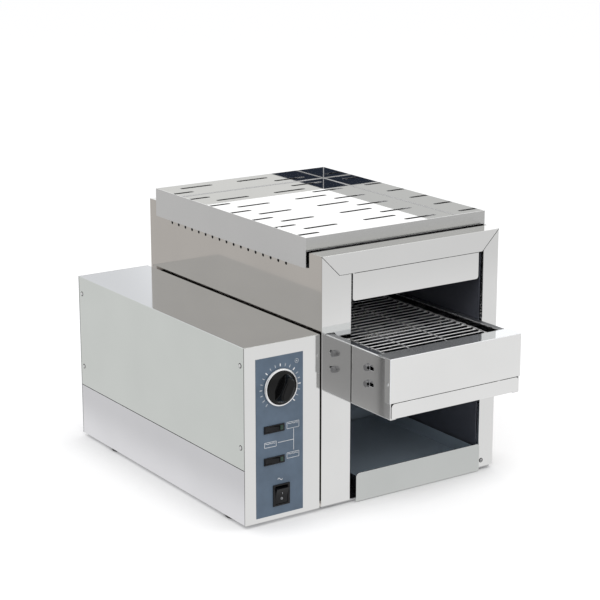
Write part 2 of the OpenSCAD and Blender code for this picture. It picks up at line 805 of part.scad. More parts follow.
module carriage_side_left() color("silver") at_origin() translate([carriage_x0, 0, 0]) carriage_side();

module carriage_side_right() color("silver") at_origin()
    translate([carriage_x1, 0, 0]) mirror([1, 0, 0]) carriage_side();

// Front cover: face, landing on top with a guide lip, and short returns around both side plates.
module carriage_cover() color("gainsboro") at_origin() {
    x0 = carriage_x0 - sheet;
    x1 = carriage_x1 + sheet;
    front = -carriage_reach;
    low = crumb_top + cover_gap;
    back = front + landing_d;
    block([x0, front, low], [x1, front + sheet, carriage_top]);
    block([x0, front, carriage_side_top], [x1, back, carriage_top]);
    for (x = [x0, carriage_x1]) block([x, front, low], [x + sheet, front + cover_return, carriage_top]);
    along_x(belt_x0 - 6, belt_x1 + 6)
        polygon([[back - eps, carriage_top], [back + guide_run, carriage_top - guide_fall],
            [back + guide_run, carriage_top - guide_fall - sheet], [back - eps, carriage_side_top]]);
}

// A round spacer between the side plates, bored at both ends for its bolts.
module spacer_bar(y, z, r) {
    difference() {
        bar_x(carriage_x0 + plate, carriage_x1 - plate, y, z, r);
        bar_x(carriage_x0 + plate - cut, carriage_x0 + plate + bolt_depth, y, z, bolt_r + fit);
        bar_x(carriage_x1 - plate - bolt_depth, carriage_x1 - plate + cut, y, z, bolt_r + fit);
    }
}

module tie_rods() color("gray") at_origin() {
    spacer_bar(idler_y, axis_z - low_tie_drop, tie_r);
    for (i = [0:tie_count - 1]) spacer_bar(tie_y0 + i * tie_step, tie_z, tie_r);
}

// Hex bolt with its washer, on the left side plate's outer face, pointing to +X.
module hex_bolt(y, z) {
    translate([0, y, z]) rotate([0, -90, 0]) {
        cylinder(h = washer_t, r = washer_r);
        cylinder(h = washer_t + hex_h, r = hex_r, $fn = 6);
    }
    bar_x(-eps, plate + bolt_depth - 1, y, z, bolt_r);
}

// Button-head screw that holds a hidden tie.
module button_screw(y, z) {
    bar_x(-button_h, 0, y, z, button_r);
    bar_x(-eps, plate + bolt_depth - 1, y, z, bolt_r);
}

// All the fasteners of one side plate.
module side_fasteners() {
    for (z = [axis_z, axis_z - low_tie_drop]) hex_bolt(idler_y, z);
    for (i = [0:tie_count - 1]) button_screw(tie_y0 + i * tie_step, tie_z);
}

module carriage_bolts() color("dimgray") at_origin() {
    translate([carriage_x0, 0, 0]) side_fasteners();
    translate([carriage_x1, 0, 0]) mirror([1, 0, 0]) side_fasteners();
}

// Small rivets through the cover's side returns.
module cover_rivets() color("gray") at_origin() {
    y = rivet_setback - carriage_reach + sheet;
    z = carriage_top - rivet_drop;
    bar_x(carriage_x0 - sheet - rivet_h, carriage_x0 - sheet, y, z, rivet_r);
    bar_x(carriage_x1 + sheet, carriage_x1 + sheet + rivet_h, y, z, rivet_r);
}

// Fixed axle at the belt's front end.
module idler_axle() color("gray") at_origin() spacer_bar(idler_y, axis_z, axle_r);

// The front wheels on their common tube, which turns on the fixed axle.
module idler_wheels() color("darkgray") at_origin() {
    x0 = carriage_x0 + plate + idler_tube_gap;
    x1 = carriage_x1 - plate - idler_tube_gap;
    difference() {
        union() {
            bar_x(x0, x1, idler_y, axis_z, axle_r + fit + idler_tube_t);
            for (x = wheel_x) bar_x(x - wheel_w / 2, x + wheel_w / 2, idler_y, axis_z, wheel_r);
        }
        bar_x(x0 - cut, x1 + cut, idler_y, axis_z, axle_r + fit);
    }
}

// The belt's rods, evenly spaced around the whole loop.
module belt_rods() color("silver") at_origin() {
    for (i = [0:rod_count - 1]) let (p = belt_point((i + 0.5) * rod_step))
        bar_x(belt_x0, belt_x1, p[0], p[1], rod_d / 2);
}

// Strands that run around the loop and hold the rods at their distance.
module belt_strands() color("gray") at_origin() {
    for (x = strand_x) along_x(x - strand_w / 2, x + strand_w / 2) difference() {
        track(belt_r + strand_t / 2);
        track(belt_r - strand_t / 2);
    }
}

// Two bars on edge under the belt's upper run.
module belt_rails() color("gray") at_origin() {
    end = belt_r + rail_bar_end_gap;
    for (x = rail_bar_x)
        block([x, idler_y + end, rail_bar_top - rail_bar_h], [x + rail_bar_t, drive_y - end, rail_bar_top]);
}

// Flanged bushes in both side plates for the drive shaft.
module shaft_bushes() color("goldenrod") at_origin() {
    for (side = [0, 1]) translate([side == 0 ? carriage_x0 : carriage_x1, 0, 0]) mirror([side, 0, 0])
        difference() {
            union() {
                bar_x(0, plate, drive_y, axis_z, bush_r);
                bar_x(plate, plate + bush_flange_t, drive_y, axis_z, bush_flange_r);
                bar_x(plate, bush_len, drive_y, axis_z, bush_r);
            }
            bar_x(-cut, bush_len + cut, drive_y, axis_z, shaft_r + fit);
        }
}

// Rear shaft, which runs through both walls into the control box.
module drive_shaft() color("gray") at_origin()
    bar_x(output_end_x, carriage_x1 + shaft_end, drive_y, axis_z, shaft_r);

// Wheels that are fixed on the rear shaft and pull the belt.
module drive_wheels() color("darkgray") at_origin() {
    for (x = wheel_x) difference() {
        bar_x(x - wheel_w / 2, x + wheel_w / 2, drive_y, axis_z, wheel_r);
        bar_x(x - wheel_w, x + wheel_w, drive_y, axis_z, shaft_r);
    }
}

// The motor's output pin and the sleeve that joins it to the drive shaft.
module shaft_coupling() color("silver") at_origin() {
    bar_x(output_start_x, output_end_x, drive_y, axis_z, output_r);
    difference() {
        bar_x(coupling_x0, coupling_x1, drive_y, axis_z, coupling_r);
        bar_x(output_end_x, coupling_x1 + cut, drive_y, axis_z, shaft_r);
    }
}

// Crumb tray that slides out under the cover: front, floor and two sides.
module crumb_tray() color("gainsboro") at_origin() {
    front = -carriage_reach;
    inset = 0.4;
    low = crumb_floor_z + 0.1;
    top = crumb_floor_z + crumb_side_h;
    x0 = crumb_x0 + inset;
    x1 = crumb_x1 - inset;
    along_y(front, front + sheet)
        round_top(crumb_x0, crumb_x1, crumb_floor_z, crumb_top, crumb_corner_r);
    block([x0, front, low], [x1, crumb_y1, low + sheet]);
    for (x = [x0, x1 - sheet]) block([x, front, low], [x + sheet, crumb_y1, top]);
    block([x0, crumb_y1 - sheet, low], [x1, crumb_y1, top]);
}

// ---- control box ----

// Base of the box: floor, low left side and full right side from one sheet.
module box_base() color("silver") at_origin() {
    difference() {
        block([box_x0, box_inner_y0, box_z0], [box_x1, box_inner_y1, box_z0 + sheet]);
        for (x = floor_screw_x, y = floor_screw_y) translate([x, y, box_z0 - cut])
            cylinder(h = sheet + 2 * cut, r = box_screw_r / 2 + fit);
    }
    block([box_x0, box_inner_y0 + seam, box_z0], [box_x0 + sheet, box_inner_y1 - seam, box_seam_z]);
    difference() {
        block([box_x1 - sheet, box_inner_y0, box_z0], [box_x1, box_inner_y1, box_z1 - sheet]);
        bar_x(box_x1 - sheet - cut, box_x1 + cut, drive_y, axis_z, shaft_hole_r);
        bar_x(box_x1 - sheet - cut, box_x1 + cut, wire_hole_y, wire_hole_z, wire_hole_r);
    }
}

// Cover of the box: top and upper left side from one sheet.
module box_cover() color("silver") at_origin() {
    block([box_x0, box_inner_y0 + seam, box_z1 - sheet], [box_x1, box_inner_y1 - seam, box_z1]);
    difference() {
        block([box_x0, box_inner_y0 + seam, box_seam_z + seam],
            [box_x0 + sheet, box_inner_y1 - seam, box_z1]);
        for (y = box_screw_y, z = box_screw_z)
            bar_x(box_x0 - cut, box_x0 + sheet + cut, y, z, box_screw_r / 2 + fit);
    }
}

// The flange that an end panel turns inward behind the box's left side.
module end_flange(y0, y1) {
    end_gap = 8;
    difference() {
        block([box_x0 + sheet, y0, box_z0 + end_gap], [box_x0 + 2 * sheet, y1, box_z1 - end_gap]);
        for (y = box_screw_y, z = box_screw_z)
            bar_x(box_x0, box_x0 + 3 * sheet, y, z, box_screw_r / 2 + fit);
    }
}

// Front panel of the box, cut out for the dial and the switches.
module box_front() color("gainsboro") at_origin() {
    difference() {
        union() {
            block([box_x0, box_front_y, box_z0], [box_x1, box_inner_y0, box_z1]);
            end_flange(box_inner_y0 - eps, box_inner_y0 + box_flange_d);
        }
        panel_cuts(box_front_y - cut, box_inner_y0 + cut);
    }
}

// The holes that the dial and the switches need, between two depths.
module panel_cuts(y0, y1) {
    bar_y(y0, y1, dial_x, knob_z, pot_bush_r + cutout_play);
    for (z = switch_z)
        block([switch_x - switch_body_w / 2 - cutout_play, y0, z - switch_body_h / 2 - cutout_play],
            [switch_x + switch_body_w / 2 + cutout_play, y1, z + switch_body_h / 2 + cutout_play]);
    block([main_x - main_body_w / 2 - cutout_play, y0, main_z - main_body_h / 2 - cutout_play],
        [main_x + main_body_w / 2 + cutout_play, y1, main_z + main_body_h / 2 + cutout_play]);
}

// Rear panel of the box, with a slotted grille for the fan and a hole for the gland.
module box_back() color("silver") at_origin() {
    grille_r = 34;
    grille_top = 28;                       // from the fan's axis to the outer slots
    grille_pitch = 8;
    grille_slot_h = 4;
    difference() {
        union() {
            block([box_x0, box_inner_y1, box_z0], [box_x1, box_back_y, box_z1]);
            end_flange(box_inner_y1 - box_flange_d, box_inner_y1 + eps);
        }
        for (dz = [-grille_top:grille_pitch:grille_top]) let (half = sqrt(pow(grille_r, 2) - dz * dz))
            block([fan_x - half, box_inner_y1 - cut, fan_z + dz - grille_slot_h / 2],
                [fan_x + half, box_back_y + cut, fan_z + dz + grille_slot_h / 2]);
        bar_y(box_inner_y1 - cut, box_back_y + cut, gland_x, gland_z, gland_hole_r);
    }
}

// Dark spacer that keeps the hot housing off the control box.
module box_spacer() color("black") at_origin() {
    difference() {
        block([box_x1, spacer_inset, spacer_inset],
            [0, housing_d - 2 * spacer_inset, box_z1 - spacer_inset]);
        bar_x(box_x1 - cut, cut, drive_y, axis_z, shaft_hole_r);
        bar_x(box_x1 - cut, cut, wire_hole_y, wire_hole_z, wire_hole_r);
    }
}

// The four screws in the box's left side and four under its floor.
module box_screws() color("gray") at_origin() {
    for (y = box_screw_y, z = box_screw_z) {
        bar_x(box_x0 - box_screw_h, box_x0, y, z, box_screw_r);
        bar_x(box_x0 - eps, box_x0 + 3 * sheet, y, z, box_screw_r / 2);
    }
    for (x = floor_screw_x, y = floor_screw_y) {
        translate([x, y, box_z0 - floor_screw_h]) cylinder(h = floor_screw_h, r = floor_screw_r);
        translate([x, y, box_z0 - eps]) cylinder(h = 3 * sheet, r = box_screw_r / 2);
    }
}

// Printed label on the front panel.
module control_label() color("lightslategray") at_origin() {
    difference() {
        block([label_x0, label_y, label_z0], [label_x1, box_front_y, label_z0 + label_h]);
        panel_cuts(label_y - cut, box_front_y + cut);
    }
}

// Knob: disc with a straight grip across it and a shaft that enters the potentiometer.
module speed_knob() color("black") at_origin() {
    face = label_y - knob_gap;
    translate([dial_x, face, knob_z]) rotate([90, 0, 0]) {
        cylinder(h = knob_skirt_h, r = knob_disc_r);
        rotate([0, 0, -knob_tilt]) intersection() {
            cylinder(h = knob_skirt_h + knob_grip_h, r = knob_disc_r - 3);
            translate([-knob_grip_w / 2, -knob_disc_r, 0])
                cube([knob_grip_w, 2 * knob_disc_r, knob_skirt_h + knob_grip_h]);
        }
    }
    bar_y(face - eps, pot_len - pot_floor - 1, dial_x, knob_z, pot_shaft_r);
}

// Bright ring around the knob's disc.
module knob_ring() color("white") at_origin() {
    face = label_y - knob_gap;
    difference() {
        bar_y(face - ring_h, face, dial_x, knob_z, knob_ring_d / 2);
        bar_y(face - ring_h - cut, face + cut, dial_x, knob_z, knob_disc_r);
    }
}

// Potentiometer behind the panel, bored for the knob's shaft.
module speed_potentiometer() color("dimgray") at_origin() {
    difference() {
        union() {
            bar_y(box_inner_y0, box_inner_y0 + pot_len, dial_x, knob_z, pot_r);
            bar_y(label_y, box_inner_y0 + eps, dial_x, knob_z, pot_bush_r);
        }
        bar_y(label_y - cut, pot_len - pot_floor, dial_x, knob_z, pot_shaft_r + fit);
    }
}

// Frames of the two heater switches, each with a pocket for its rocker and one for its lens.
module switch_frames() color("black") at_origin() {
    for (z = switch_z) difference() {
        union() {
            block([switch_x - switch_w / 2, label_y - switch_proud, z - switch_h / 2],
                [switch_x + switch_w / 2, label_y, z + switch_h / 2]);
            block([switch_x - switch_body_w / 2, label_y - eps, z - switch_body_h / 2],
                [switch_x + switch_body_w / 2, switch_depth, z + switch_body_h / 2]);
        }
        block([switch_x + rocker_shift - rocker_pocket_half, label_y - switch_proud - cut,
                z - rocker_pocket_half_h],
            [switch_x + rocker_shift + rocker_pocket_half, rocker_pivot_y + pocket_floor,
                z + rocker_pocket_half_h]);
        translate([switch_x + rocker_shift, rocker_pivot_y, z - rocker_half_h - rocker_pin_out - fit])
            cylinder(h = 2 * (rocker_half_h + rocker_pin_out + fit), r = rocker_pin_r + fit);
        block([switch_x + lens_shift - lens_w / 2, label_y - switch_proud - cut, z - lens_h / 2],
            [switch_x + lens_shift + lens_w / 2, label_y - switch_proud + lens_depth, z + lens_h / 2]);
    }
}

// Green lenses beside the heater switches' rockers.
module switch_lenses() color("limegreen") at_origin() {
    for (z = switch_z)
        block([switch_x + lens_shift - lens_w / 2, label_y - switch_proud - lens_proud, z - lens_h / 2],
            [switch_x + lens_shift + lens_w / 2, label_y - switch_proud + lens_depth, z + lens_h / 2]);
}

// Section of a rocker of half length half: its front is a shallow V, and the pivot is at the origin.
module rocker_section(half) {
    polygon([[-half, -rocker_front], [0, rocker_dip - rocker_front], [half, -rocker_front],
        [half, rocker_back], [-half, rocker_back]]);
}

// Rocker of a heater switch, tipped to its off side, with its pivot pin.
module heater_rocker(z) {
    translate([switch_x + rocker_shift, rocker_pivot_y, z]) {
        rotate([0, 0, -rocker_tilt]) translate([0, 0, -rocker_half_h])
            linear_extrude(2 * rocker_half_h) rocker_section(rocker_half);
        translate([0, 0, -rocker_half_h - rocker_pin_out])
            cylinder(h = 2 * (rocker_half_h + rocker_pin_out), r = rocker_pin_r);
    }
}

module upper_rocker() color("black") at_origin() heater_rocker(switch_z[0]);

module lower_rocker() color("black") at_origin() heater_rocker(switch_z[1]);

// Frame of the main switch with a pocket for its rocker.
module main_switch_frame() color("black") at_origin() {
    difference() {
        union() {
            block([main_x - main_w / 2, label_y - switch_proud, main_z - main_h / 2],
                [main_x + main_w / 2, label_y, main_z + main_h / 2]);
            block([main_x - main_body_w / 2, label_y - eps, main_z - main_body_h / 2],
                [main_x + main_body_w / 2, switch_depth, main_z + main_body_h / 2]);
        }
        block([main_x - main_pocket_half_w, label_y - switch_proud - cut, main_z - main_pocket_half],
            [main_x + main_pocket_half_w, rocker_pivot_y + pocket_floor, main_z + main_pocket_half]);
        bar_x(main_x - main_half_w - rocker_pin_out - fit, main_x + main_half_w + rocker_pin_out + fit,
            rocker_pivot_y, main_z, rocker_pin_r + fit);
    }
}

// Rocker of the main switch, tipped to its off side, with its pivot pin.
module main_rocker() color("black") at_origin() {
    translate([main_x, rocker_pivot_y, main_z]) rotate([rocker_tilt, 0, 0])
        rotate([0, 90, 0]) translate([0, 0, -main_half_w])
            linear_extrude(2 * main_half_w) rocker_section(main_half);
    bar_x(main_x - main_half_w - rocker_pin_out, main_x + main_half_w + rocker_pin_out,
        rocker_pivot_y, main_z, rocker_pin_r);
}

// Gear motor: square gearbox with a round motor behind it, bored for the output pin.
module gear_motor() color("dimgray") at_origin() {
    face = bracket_x - bracket_t;
    difference() {
        union() {
            block([face - gearbox_len, drive_y - gearbox_half, gear_z - gearbox_half],
                [face, drive_y + gearbox_half, gear_z + gearbox_half]);
            bar_x(face - gearbox_len - motor_len, face - gearbox_len + eps, drive_y, gear_z, motor_r);
        }
        bar_x(output_start_x - fit, face + cut, drive_y, axis_z, output_r + fit);
    }
}

// Plate on four posts that carries the gear motor off the box's right side.
module motor_bracket() color("silver") at_origin() {
    inset = 5;
    difference() {
        block([bracket_x - bracket_t, drive_y - bracket_half_y, gear_z - bracket_half_z],
            [bracket_x, drive_y + bracket_half_y, gear_z + bracket_half_z]);
        bar_x(bracket_x - bracket_t - cut, bracket_x + cut, drive_y, axis_z, output_r + 2);
    }
    dy = bracket_half_y - inset;
    dz = bracket_half_z - inset;
    for (y = [drive_y - dy, drive_y + dy], z = [gear_z - dz, gear_z + dz])
        bar_x(bracket_x - eps, box_x1 - sheet, y, z, standoff_r);
}

// Speed and heat regulator: a board on four posts with its relays, heat sink and capacitor.
module control_board() color("darkgreen") at_origin() {
    inset = 6;
    relay = [20, 28, 16];
    relay_at = [12, 18];
    relay_pitch = 34;
    sink = [14, 40, 26];
    sink_at = [40, 20];
    capacitor_at = [46, 76];
    capacitor_h = 24;
    capacitor_r = 8;
    corner = [board_x0, board_y0, board_z + board_t - eps];
    block([board_x0, board_y0, board_z], [board_x0 + board_w, board_y0 + board_d, board_z + board_t]);
    for (x = [inset, board_w - inset], y = [inset, board_d - inset])
        translate([board_x0 + x, board_y0 + y, box_z0 + sheet])
            cylinder(h = board_z - box_z0 - sheet + eps, r = board_post_r);
    for (i = [0:1]) translate(corner + [relay_at.x, relay_at.y + i * relay_pitch, 0]) cube(relay);
    translate(corner + [sink_at.x, sink_at.y, 0]) cube(sink);
    translate(corner + [capacitor_at.x, capacitor_at.y, 0]) cylinder(h = capacitor_h, r = capacitor_r);
}

// Row of terminals on the box's floor.
module terminal_block() color("ivory") at_origin() {
    count = 6;
    step = terminal_d / count;
    hole_r = 3;
    hole_d = 6;
    floor_z = box_z0 + sheet;
    top = floor_z + terminal_h;
    difference() {
        block([terminal_x0, terminal_y0, floor_z], [terminal_x0 + terminal_w, terminal_y0 + terminal_d, top]);
        for (i = [0:count - 1])
            translate([terminal_x0 + terminal_w / 2, terminal_y0 + (i + 0.5) * step, top - hole_d])
                cylinder(h = hole_d + cut, r = hole_r);
    }
}

// Square fan frame against the rear panel, with its motor core held by four struts.
module fan_frame() color("black") at_origin() {
    y1 = box_inner_y1;
    y0 = y1 - fan_d;
    half = fan_size / 2;
    strut_w = 4;
    strut_d = 4;
    difference() {
        block([fan_x - half, y0, fan_z - half], [fan_x + half, y1, fan_z + half]);
        bar_y(y0 - cut, y1 + cut, fan_x, fan_z, fan_bore_r);
    }
    bar_y(y1 - fan_core_d, y1, fan_x, fan_z, fan_hub_r);
    for (a = [0:90:270]) translate([fan_x, 0, fan_z]) rotate([0, a, 0])
        block([fan_hub_r - 1, y1 - strut_d, -strut_w / 2], [fan_bore_r + 1, y1, strut_w / 2]);
    bar_y(rotor_y0 + fan_cap + fan_play, y1 - fan_core_d + eps, fan_x, fan_z, fan_spindle_r);
}

// Fan rotor: hub with flat pitched blades, bored for the spindle.
module fan_rotor() color("black") at_origin() {
    y0 = rotor_y0;
    y1 = rotor_y0 + fan_rotor_d;
    pitch = 45;
    blade_half = 11;
    difference() {
        union() {
            bar_y(y0, y1, fan_x, fan_z, fan_hub_r);
            intersection() {
                bar_y(y0, y1, fan_x, fan_z, fan_blade_r);
                for (i = [0:fan_blades - 1]) translate([fan_x, (y0 + y1) / 2, fan_z])
                    rotate([0, i * 360 / fan_blades, 0]) rotate([pitch, 0, 0])
                        block([fan_hub_r - 2, -1, -blade_half], [fan_blade_r + 2, 1, blade_half]);
            }
        }
        bar_y(y0 + fan_cap, y1 + cut, fan_x, fan_z, fan_spindle_r + fit);
    }
}

// Gland for the mains lead: hexagon, dome nut, thread through the panel, and a nut inside.
module cable_gland() color("black") at_origin() {
    thread_in = 8;                         // how far the thread passes the panel inside
    nut_h = 4;
    hex_len = 5;
    dome_r = gland_nut_r - 2;
    difference() {
        union() {
            bar_y(box_inner_y1 - thread_in, box_back_y + eps, gland_x, gland_z, gland_hole_r);
            translate([gland_x, box_inner_y1, gland_z]) rotate([90, 0, 0])
                cylinder(h = nut_h, r = gland_nut_r, $fn = 6);
            translate([gland_x, box_back_y + hex_len, gland_z]) rotate([90, 0, 0])
                cylinder(h = hex_len, r = gland_nut_r, $fn = 6);
            bar_y(box_back_y + hex_len - eps, box_back_y + gland_out, gland_x, gland_z, dome_r);
        }
        bar_y(box_inner_y1 - thread_in - cut, box_back_y + gland_out + cut, gland_x, gland_z, gland_bore_r);
    }
}

// Rubber feet under the housing and the control box.
module feet() color("black") at_origin() {
    for (x = [foot_inset, housing_w - foot_inset], y = [foot_inset, housing_d - foot_inset])
        translate([x, y, -foot_h]) cylinder(h = foot_h - sheet, r = foot_r);
    for (x = [box_x0 + box_foot_in, box_x1 - box_foot_in], y = [box_foot_front, housing_d - box_foot_back])
        translate([x, y, -foot_h]) cylinder(h = foot_h + box_z0, r = foot_r);
}

base_pan();
housing_left();
housing_right();
housing_back();
front_rail();
front_baffle();
roof_panel();
tray_bearers();
warming_tray();
tunnel_wall_left();
tunnel_wall_right();
upper_reflector();
lower_reflector();
upper_heaters();
lower_heaters();
heater_caps();
rear_deflector();
toast_ramp();
tray_runners();
toast_tray();
carriage_side_left();
carriage_side_right();
carriage_cover();
tie_rods();
carriage_bolts();
cover_rivets();
idler_axle();
idler_wheels();
belt_rods();
belt_strands();
belt_rails();
shaft_bushes();
drive_shaft();
drive_wheels();
shaft_coupling();
crumb_tray();
box_base();
box_cover();
box_front();
box_back();
box_spacer();
box_screws();
control_label();
speed_knob();
knob_ring();
speed_potentiometer();
switch_frames();
switch_lenses();
upper_rocker();
lower_rocker();
main_switch_frame();
main_rocker();
gear_motor();
motor_bracket();
control_board();
terminal_block();
fan_frame();
fan_rotor();
cable_gland();
feet();
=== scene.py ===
"""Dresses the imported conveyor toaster: its sheets, belt, controls, finishes and a plain studio.

Sizes are in millimetres in the maker's frame, whose origin is the housing's lower front left
corner: X runs right along the front, Y to the back, Z up. A piece's points are moved to the
row frame and turned into metres when its mesh is made.
"""

import logging
from collections.abc import Iterable
from dataclasses import dataclass
from enum import Enum
from functools import reduce
from math import cos, pi, radians, sin
from operator import add

import bmesh
import bpy
import numpy as np
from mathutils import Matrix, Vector


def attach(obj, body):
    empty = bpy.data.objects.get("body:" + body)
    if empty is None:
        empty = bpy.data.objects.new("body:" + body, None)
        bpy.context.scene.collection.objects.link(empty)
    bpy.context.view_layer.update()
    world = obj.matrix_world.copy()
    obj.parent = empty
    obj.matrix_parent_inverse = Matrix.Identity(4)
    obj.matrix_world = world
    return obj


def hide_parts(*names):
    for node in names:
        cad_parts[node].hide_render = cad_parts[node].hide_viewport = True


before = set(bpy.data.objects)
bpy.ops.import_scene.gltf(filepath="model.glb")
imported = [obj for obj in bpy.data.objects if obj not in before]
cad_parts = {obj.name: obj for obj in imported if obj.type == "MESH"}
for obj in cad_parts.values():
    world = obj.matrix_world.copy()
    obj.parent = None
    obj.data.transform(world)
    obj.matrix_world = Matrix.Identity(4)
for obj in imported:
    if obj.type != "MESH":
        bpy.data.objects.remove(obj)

log = logging.getLogger("toaster")
CORNER = np.array([87.4, 186.4, -5.0])     # the row frame's origin in the maker's frame
METRE = 1000                               # in millimetres
CLOSE = 1e-6                               # metres; points that are nearer are merged
FOLD_ANGLE = 30.0                          # degrees; an edge that turns more is sharp
BEVEL_ANGLE = 32.0                         # degrees; where edges are rounded by their angle
LEVELS = 10000                             # steps in a metre, to tell parallel planes apart
DIRECTIONS = 50                            # steps in a normal's part, to tell planes apart

Points = np.ndarray
Pair = tuple[float, float]
Place = tuple[float, float, float]
Colour = tuple[float, float, float]
Socket = bpy.types.NodeSocket
Value = Socket | float | Place


class Axis(Enum):
    """The three directions a piece can be turned about, extruded along or brushed along."""

    X = (1.0, 0.0, 0.0)
    Y = (0.0, 1.0, 0.0)
    Z = (0.0, 0.0, 1.0)

    @property
    def index(self) -> int:
        """The axis's place in a point."""
        return "XYZ".index(self.name)

    @property
    def others(self) -> list[int]:
        """The places of the two other directions, in X, Y, Z order."""
        return [i for i in range(3) if i != self.index]


# ---- surfaces ----


@dataclass(frozen=True)
class Surface:
    """Points in millimetres and the faces between them."""

    points: Points
    faces: list[tuple[int, ...]]

    def __add__(self, other: "Surface") -> "Surface":
        """Both surfaces as one, with the second's faces renumbered.

        Args:
            other: the second surface.

        Returns:
            The joined surface.
        """
        start = len(self.points)
        moved = [tuple(start + i for i in face) for face in other.faces]
        return Surface(np.vstack([self.points, other.points]), self.faces + moved)

    def turned(self, axis: Axis, degrees: float, pivot: Place) -> "Surface":
        """The surface turned about a pivot.

        Each point p becomes pivot + R (p - pivot), where R is the rotation about the axis by the
        right-hand rule.

        Args:
            axis: the direction to turn about.
            degrees: the angle.
            pivot: the point that stays where it is.

        Returns:
            The turned surface.
        """
        a, b = axis.others[::-1] if axis is Axis.Y else axis.others
        angle = radians(degrees)
        rel = self.points - np.array(pivot)
        out = rel.copy()
        out[:, a] = rel[:, a] * cos(angle) - rel[:, b] * sin(angle)
        out[:, b] = rel[:, a] * sin(angle) + rel[:, b] * cos(angle)
        return Surface(out + np.array(pivot), self.faces)


def joined(parts: Iterable[Surface]) -> Surface:
    """Several surfaces as one, in their order."""
    return reduce(add, parts)


def grid(points: Points, wrap_u: bool = False, wrap_v: bool = False) -> Surface:
    """Quads between the neighbours of one or more grids of points.

    Corner (i, j) of a grid joins (i + 1, j), (i + 1, j + 1) and (i, j + 1), where an index that
    wraps is taken modulo the grid's size.

    Args:
        points: array (..., u, v, 3); leading dimensions hold separate grids.
        wrap_u: joins the last row to the first.
        wrap_v: joins the last column to the first.

    Returns:
        The surface of all the grids.
    """
    *lead, nu, nv, _ = points.shape
    count = int(np.prod(lead)) if lead else 1
    i = np.arange(nu if wrap_u else nu - 1)[:, None]
    j = np.arange(nv if wrap_v else nv - 1)[None, :]
    i2 = (i + 1) % nu
    j2 = (j + 1) % nv
    quads = np.stack([i * nv + j, i2 * nv + j, i2 * nv + j2, i * nv + j2], axis=-1).reshape(-1, 4)
    starts = np.arange(count)[:, None, None] * nu * nv
    return Surface(points.reshape(-1, 3), [tuple(q) for q in (quads + starts).reshape(-1, 4).tolist()])


def lathe(profile: list[Pair], base: Place, axis: Axis = Axis.Z, steps: int = 32,
          sign: float = 1.0) -> Surface:
    """A surface of revolution.

    The point at angle t and profile place (r, h) is base + sign h a + r (cos t e1 + sin t e2),
    where a is the axis and e1, e2 are the two other directions.

    Args:
        profile: (radius, height) pairs from one end to the other.
        base: the point where height is 0.
        axis: the direction of the heights.
        steps: points around.
        sign: -1 makes the heights run against the axis.

    Returns:
        The surface; its poles close when doubles are merged.
    """
    turn = np.linspace(0, 2 * pi, steps, endpoint=False)
    r, h = np.array(profile, float).T
    out = np.empty((len(r), steps, 3))
    e1, e2 = axis.others
    out[..., e1] = r[:, None] * np.cos(turn)
    out[..., e2] = r[:, None] * np.sin(turn)
    out[..., axis.index] = sign * h[:, None]
    return grid(out + np.array(base), wrap_v=True)


def carry(path: Points, section: Points, side: Place) -> Surface:
    """A section carried along one or more open paths.

    At each path point the unit tangent is t, the first section direction n is the given side less
    its part along t, and the second is t x n. The surface is path + a n + b (t x n), where (a, b)
    runs round the section. The ends close to a point on the path.

    Args:
        path: array (..., n, 3).
        section: array (m, 2), a closed loop.
        side: a direction that is nowhere along the path.

    Returns:
        The surface.
    """
    step = np.diff(path, axis=-2)
    step /= np.linalg.norm(step, axis=-1, keepdims=True)
    ahead = np.concatenate([step, step[..., -1:, :]], axis=-2)
    behind = np.concatenate([step[..., :1, :], step], axis=-2)
    tangent = ahead + behind
    tangent /= np.linalg.norm(tangent, axis=-1, keepdims=True)
    first = np.array(side, float) - tangent * (tangent @ np.array(side, float))[..., None]
    first /= np.linalg.norm(first, axis=-1, keepdims=True)
    second = np.cross(tangent, first)
    rings = (path[..., None, :] + section[:, 0, None] * first[..., None, :]
             + section[:, 1, None] * second[..., None, :])
    start = np.broadcast_to(path[..., :1, None, :], rings[..., :1, :, :].shape)
    end = np.broadcast_to(path[..., -1:, None, :], rings[..., :1, :, :].shape)
    return grid(np.concatenate([start, rings, end], axis=-3), wrap_v=True)


def ring_section(radius: float, sides: int = 8) -> Points:
    """A regular polygon on a circle of the given radius, as an array (sides, 2)."""
    turn = np.linspace(0, 2 * pi, sides, endpoint=False)
    return radius * np.stack([np.cos(turn), np.sin(turn)], axis=-1)


def prism(outline: Points, axis: Axis, low: float, high: float) -> Surface:
    """A flat outline given depth.

    The outline's two coordinates are the directions other than the axis, in X, Y, Z order, and
    the axis's own runs from low to high; two faces close the ends.

    Args:
        outline: array (n, 2), without a repeated last point.
        axis: the direction of the depth.
        low: where the solid starts.
        high: where it ends.

    Returns:
        The closed surface.
    """
    a, b = axis.others
    n = len(outline)
    points = np.empty((2, n, 3))
    points[:, :, a] = outline[:, 0]
    points[:, :, b] = outline[:, 1]
    points[0, :, axis.index] = low
    points[1, :, axis.index] = high
    body = grid(points, wrap_v=True)
    ends = [tuple(range(n - 1, -1, -1)), tuple(range(n, 2 * n))]
    return Surface(body.points, body.faces + ends)


def round_rect(cx: float, cz: float, w: float, h: float, r: float, steps: int = 6) -> Points:
    """The outline of a rectangle with round corners.

    Each corner is a quarter circle of radius r about a centre that lies r inside both sides.

    Args:
        cx: middle across.
        cz: middle up.
        w: width.
        h: height.
        r: corner radius.
        steps: points on each corner.

    Returns:
        Array (4 steps, 2), counter-clockwise.
    """
    quarter = np.linspace(0, pi / 2, steps)
    turn = (quarter[None, :] + np.arange(4)[:, None] * pi / 2).ravel()
    sx = np.repeat([1, -1, -1, 1], steps)
    sz = np.repeat([1, 1, -1, -1], steps)
    return np.stack([cx + sx * (w / 2 - r) + r * np.cos(turn), cz + sz * (h / 2 - r) + r * np.sin(turn)],
                    axis=-1)


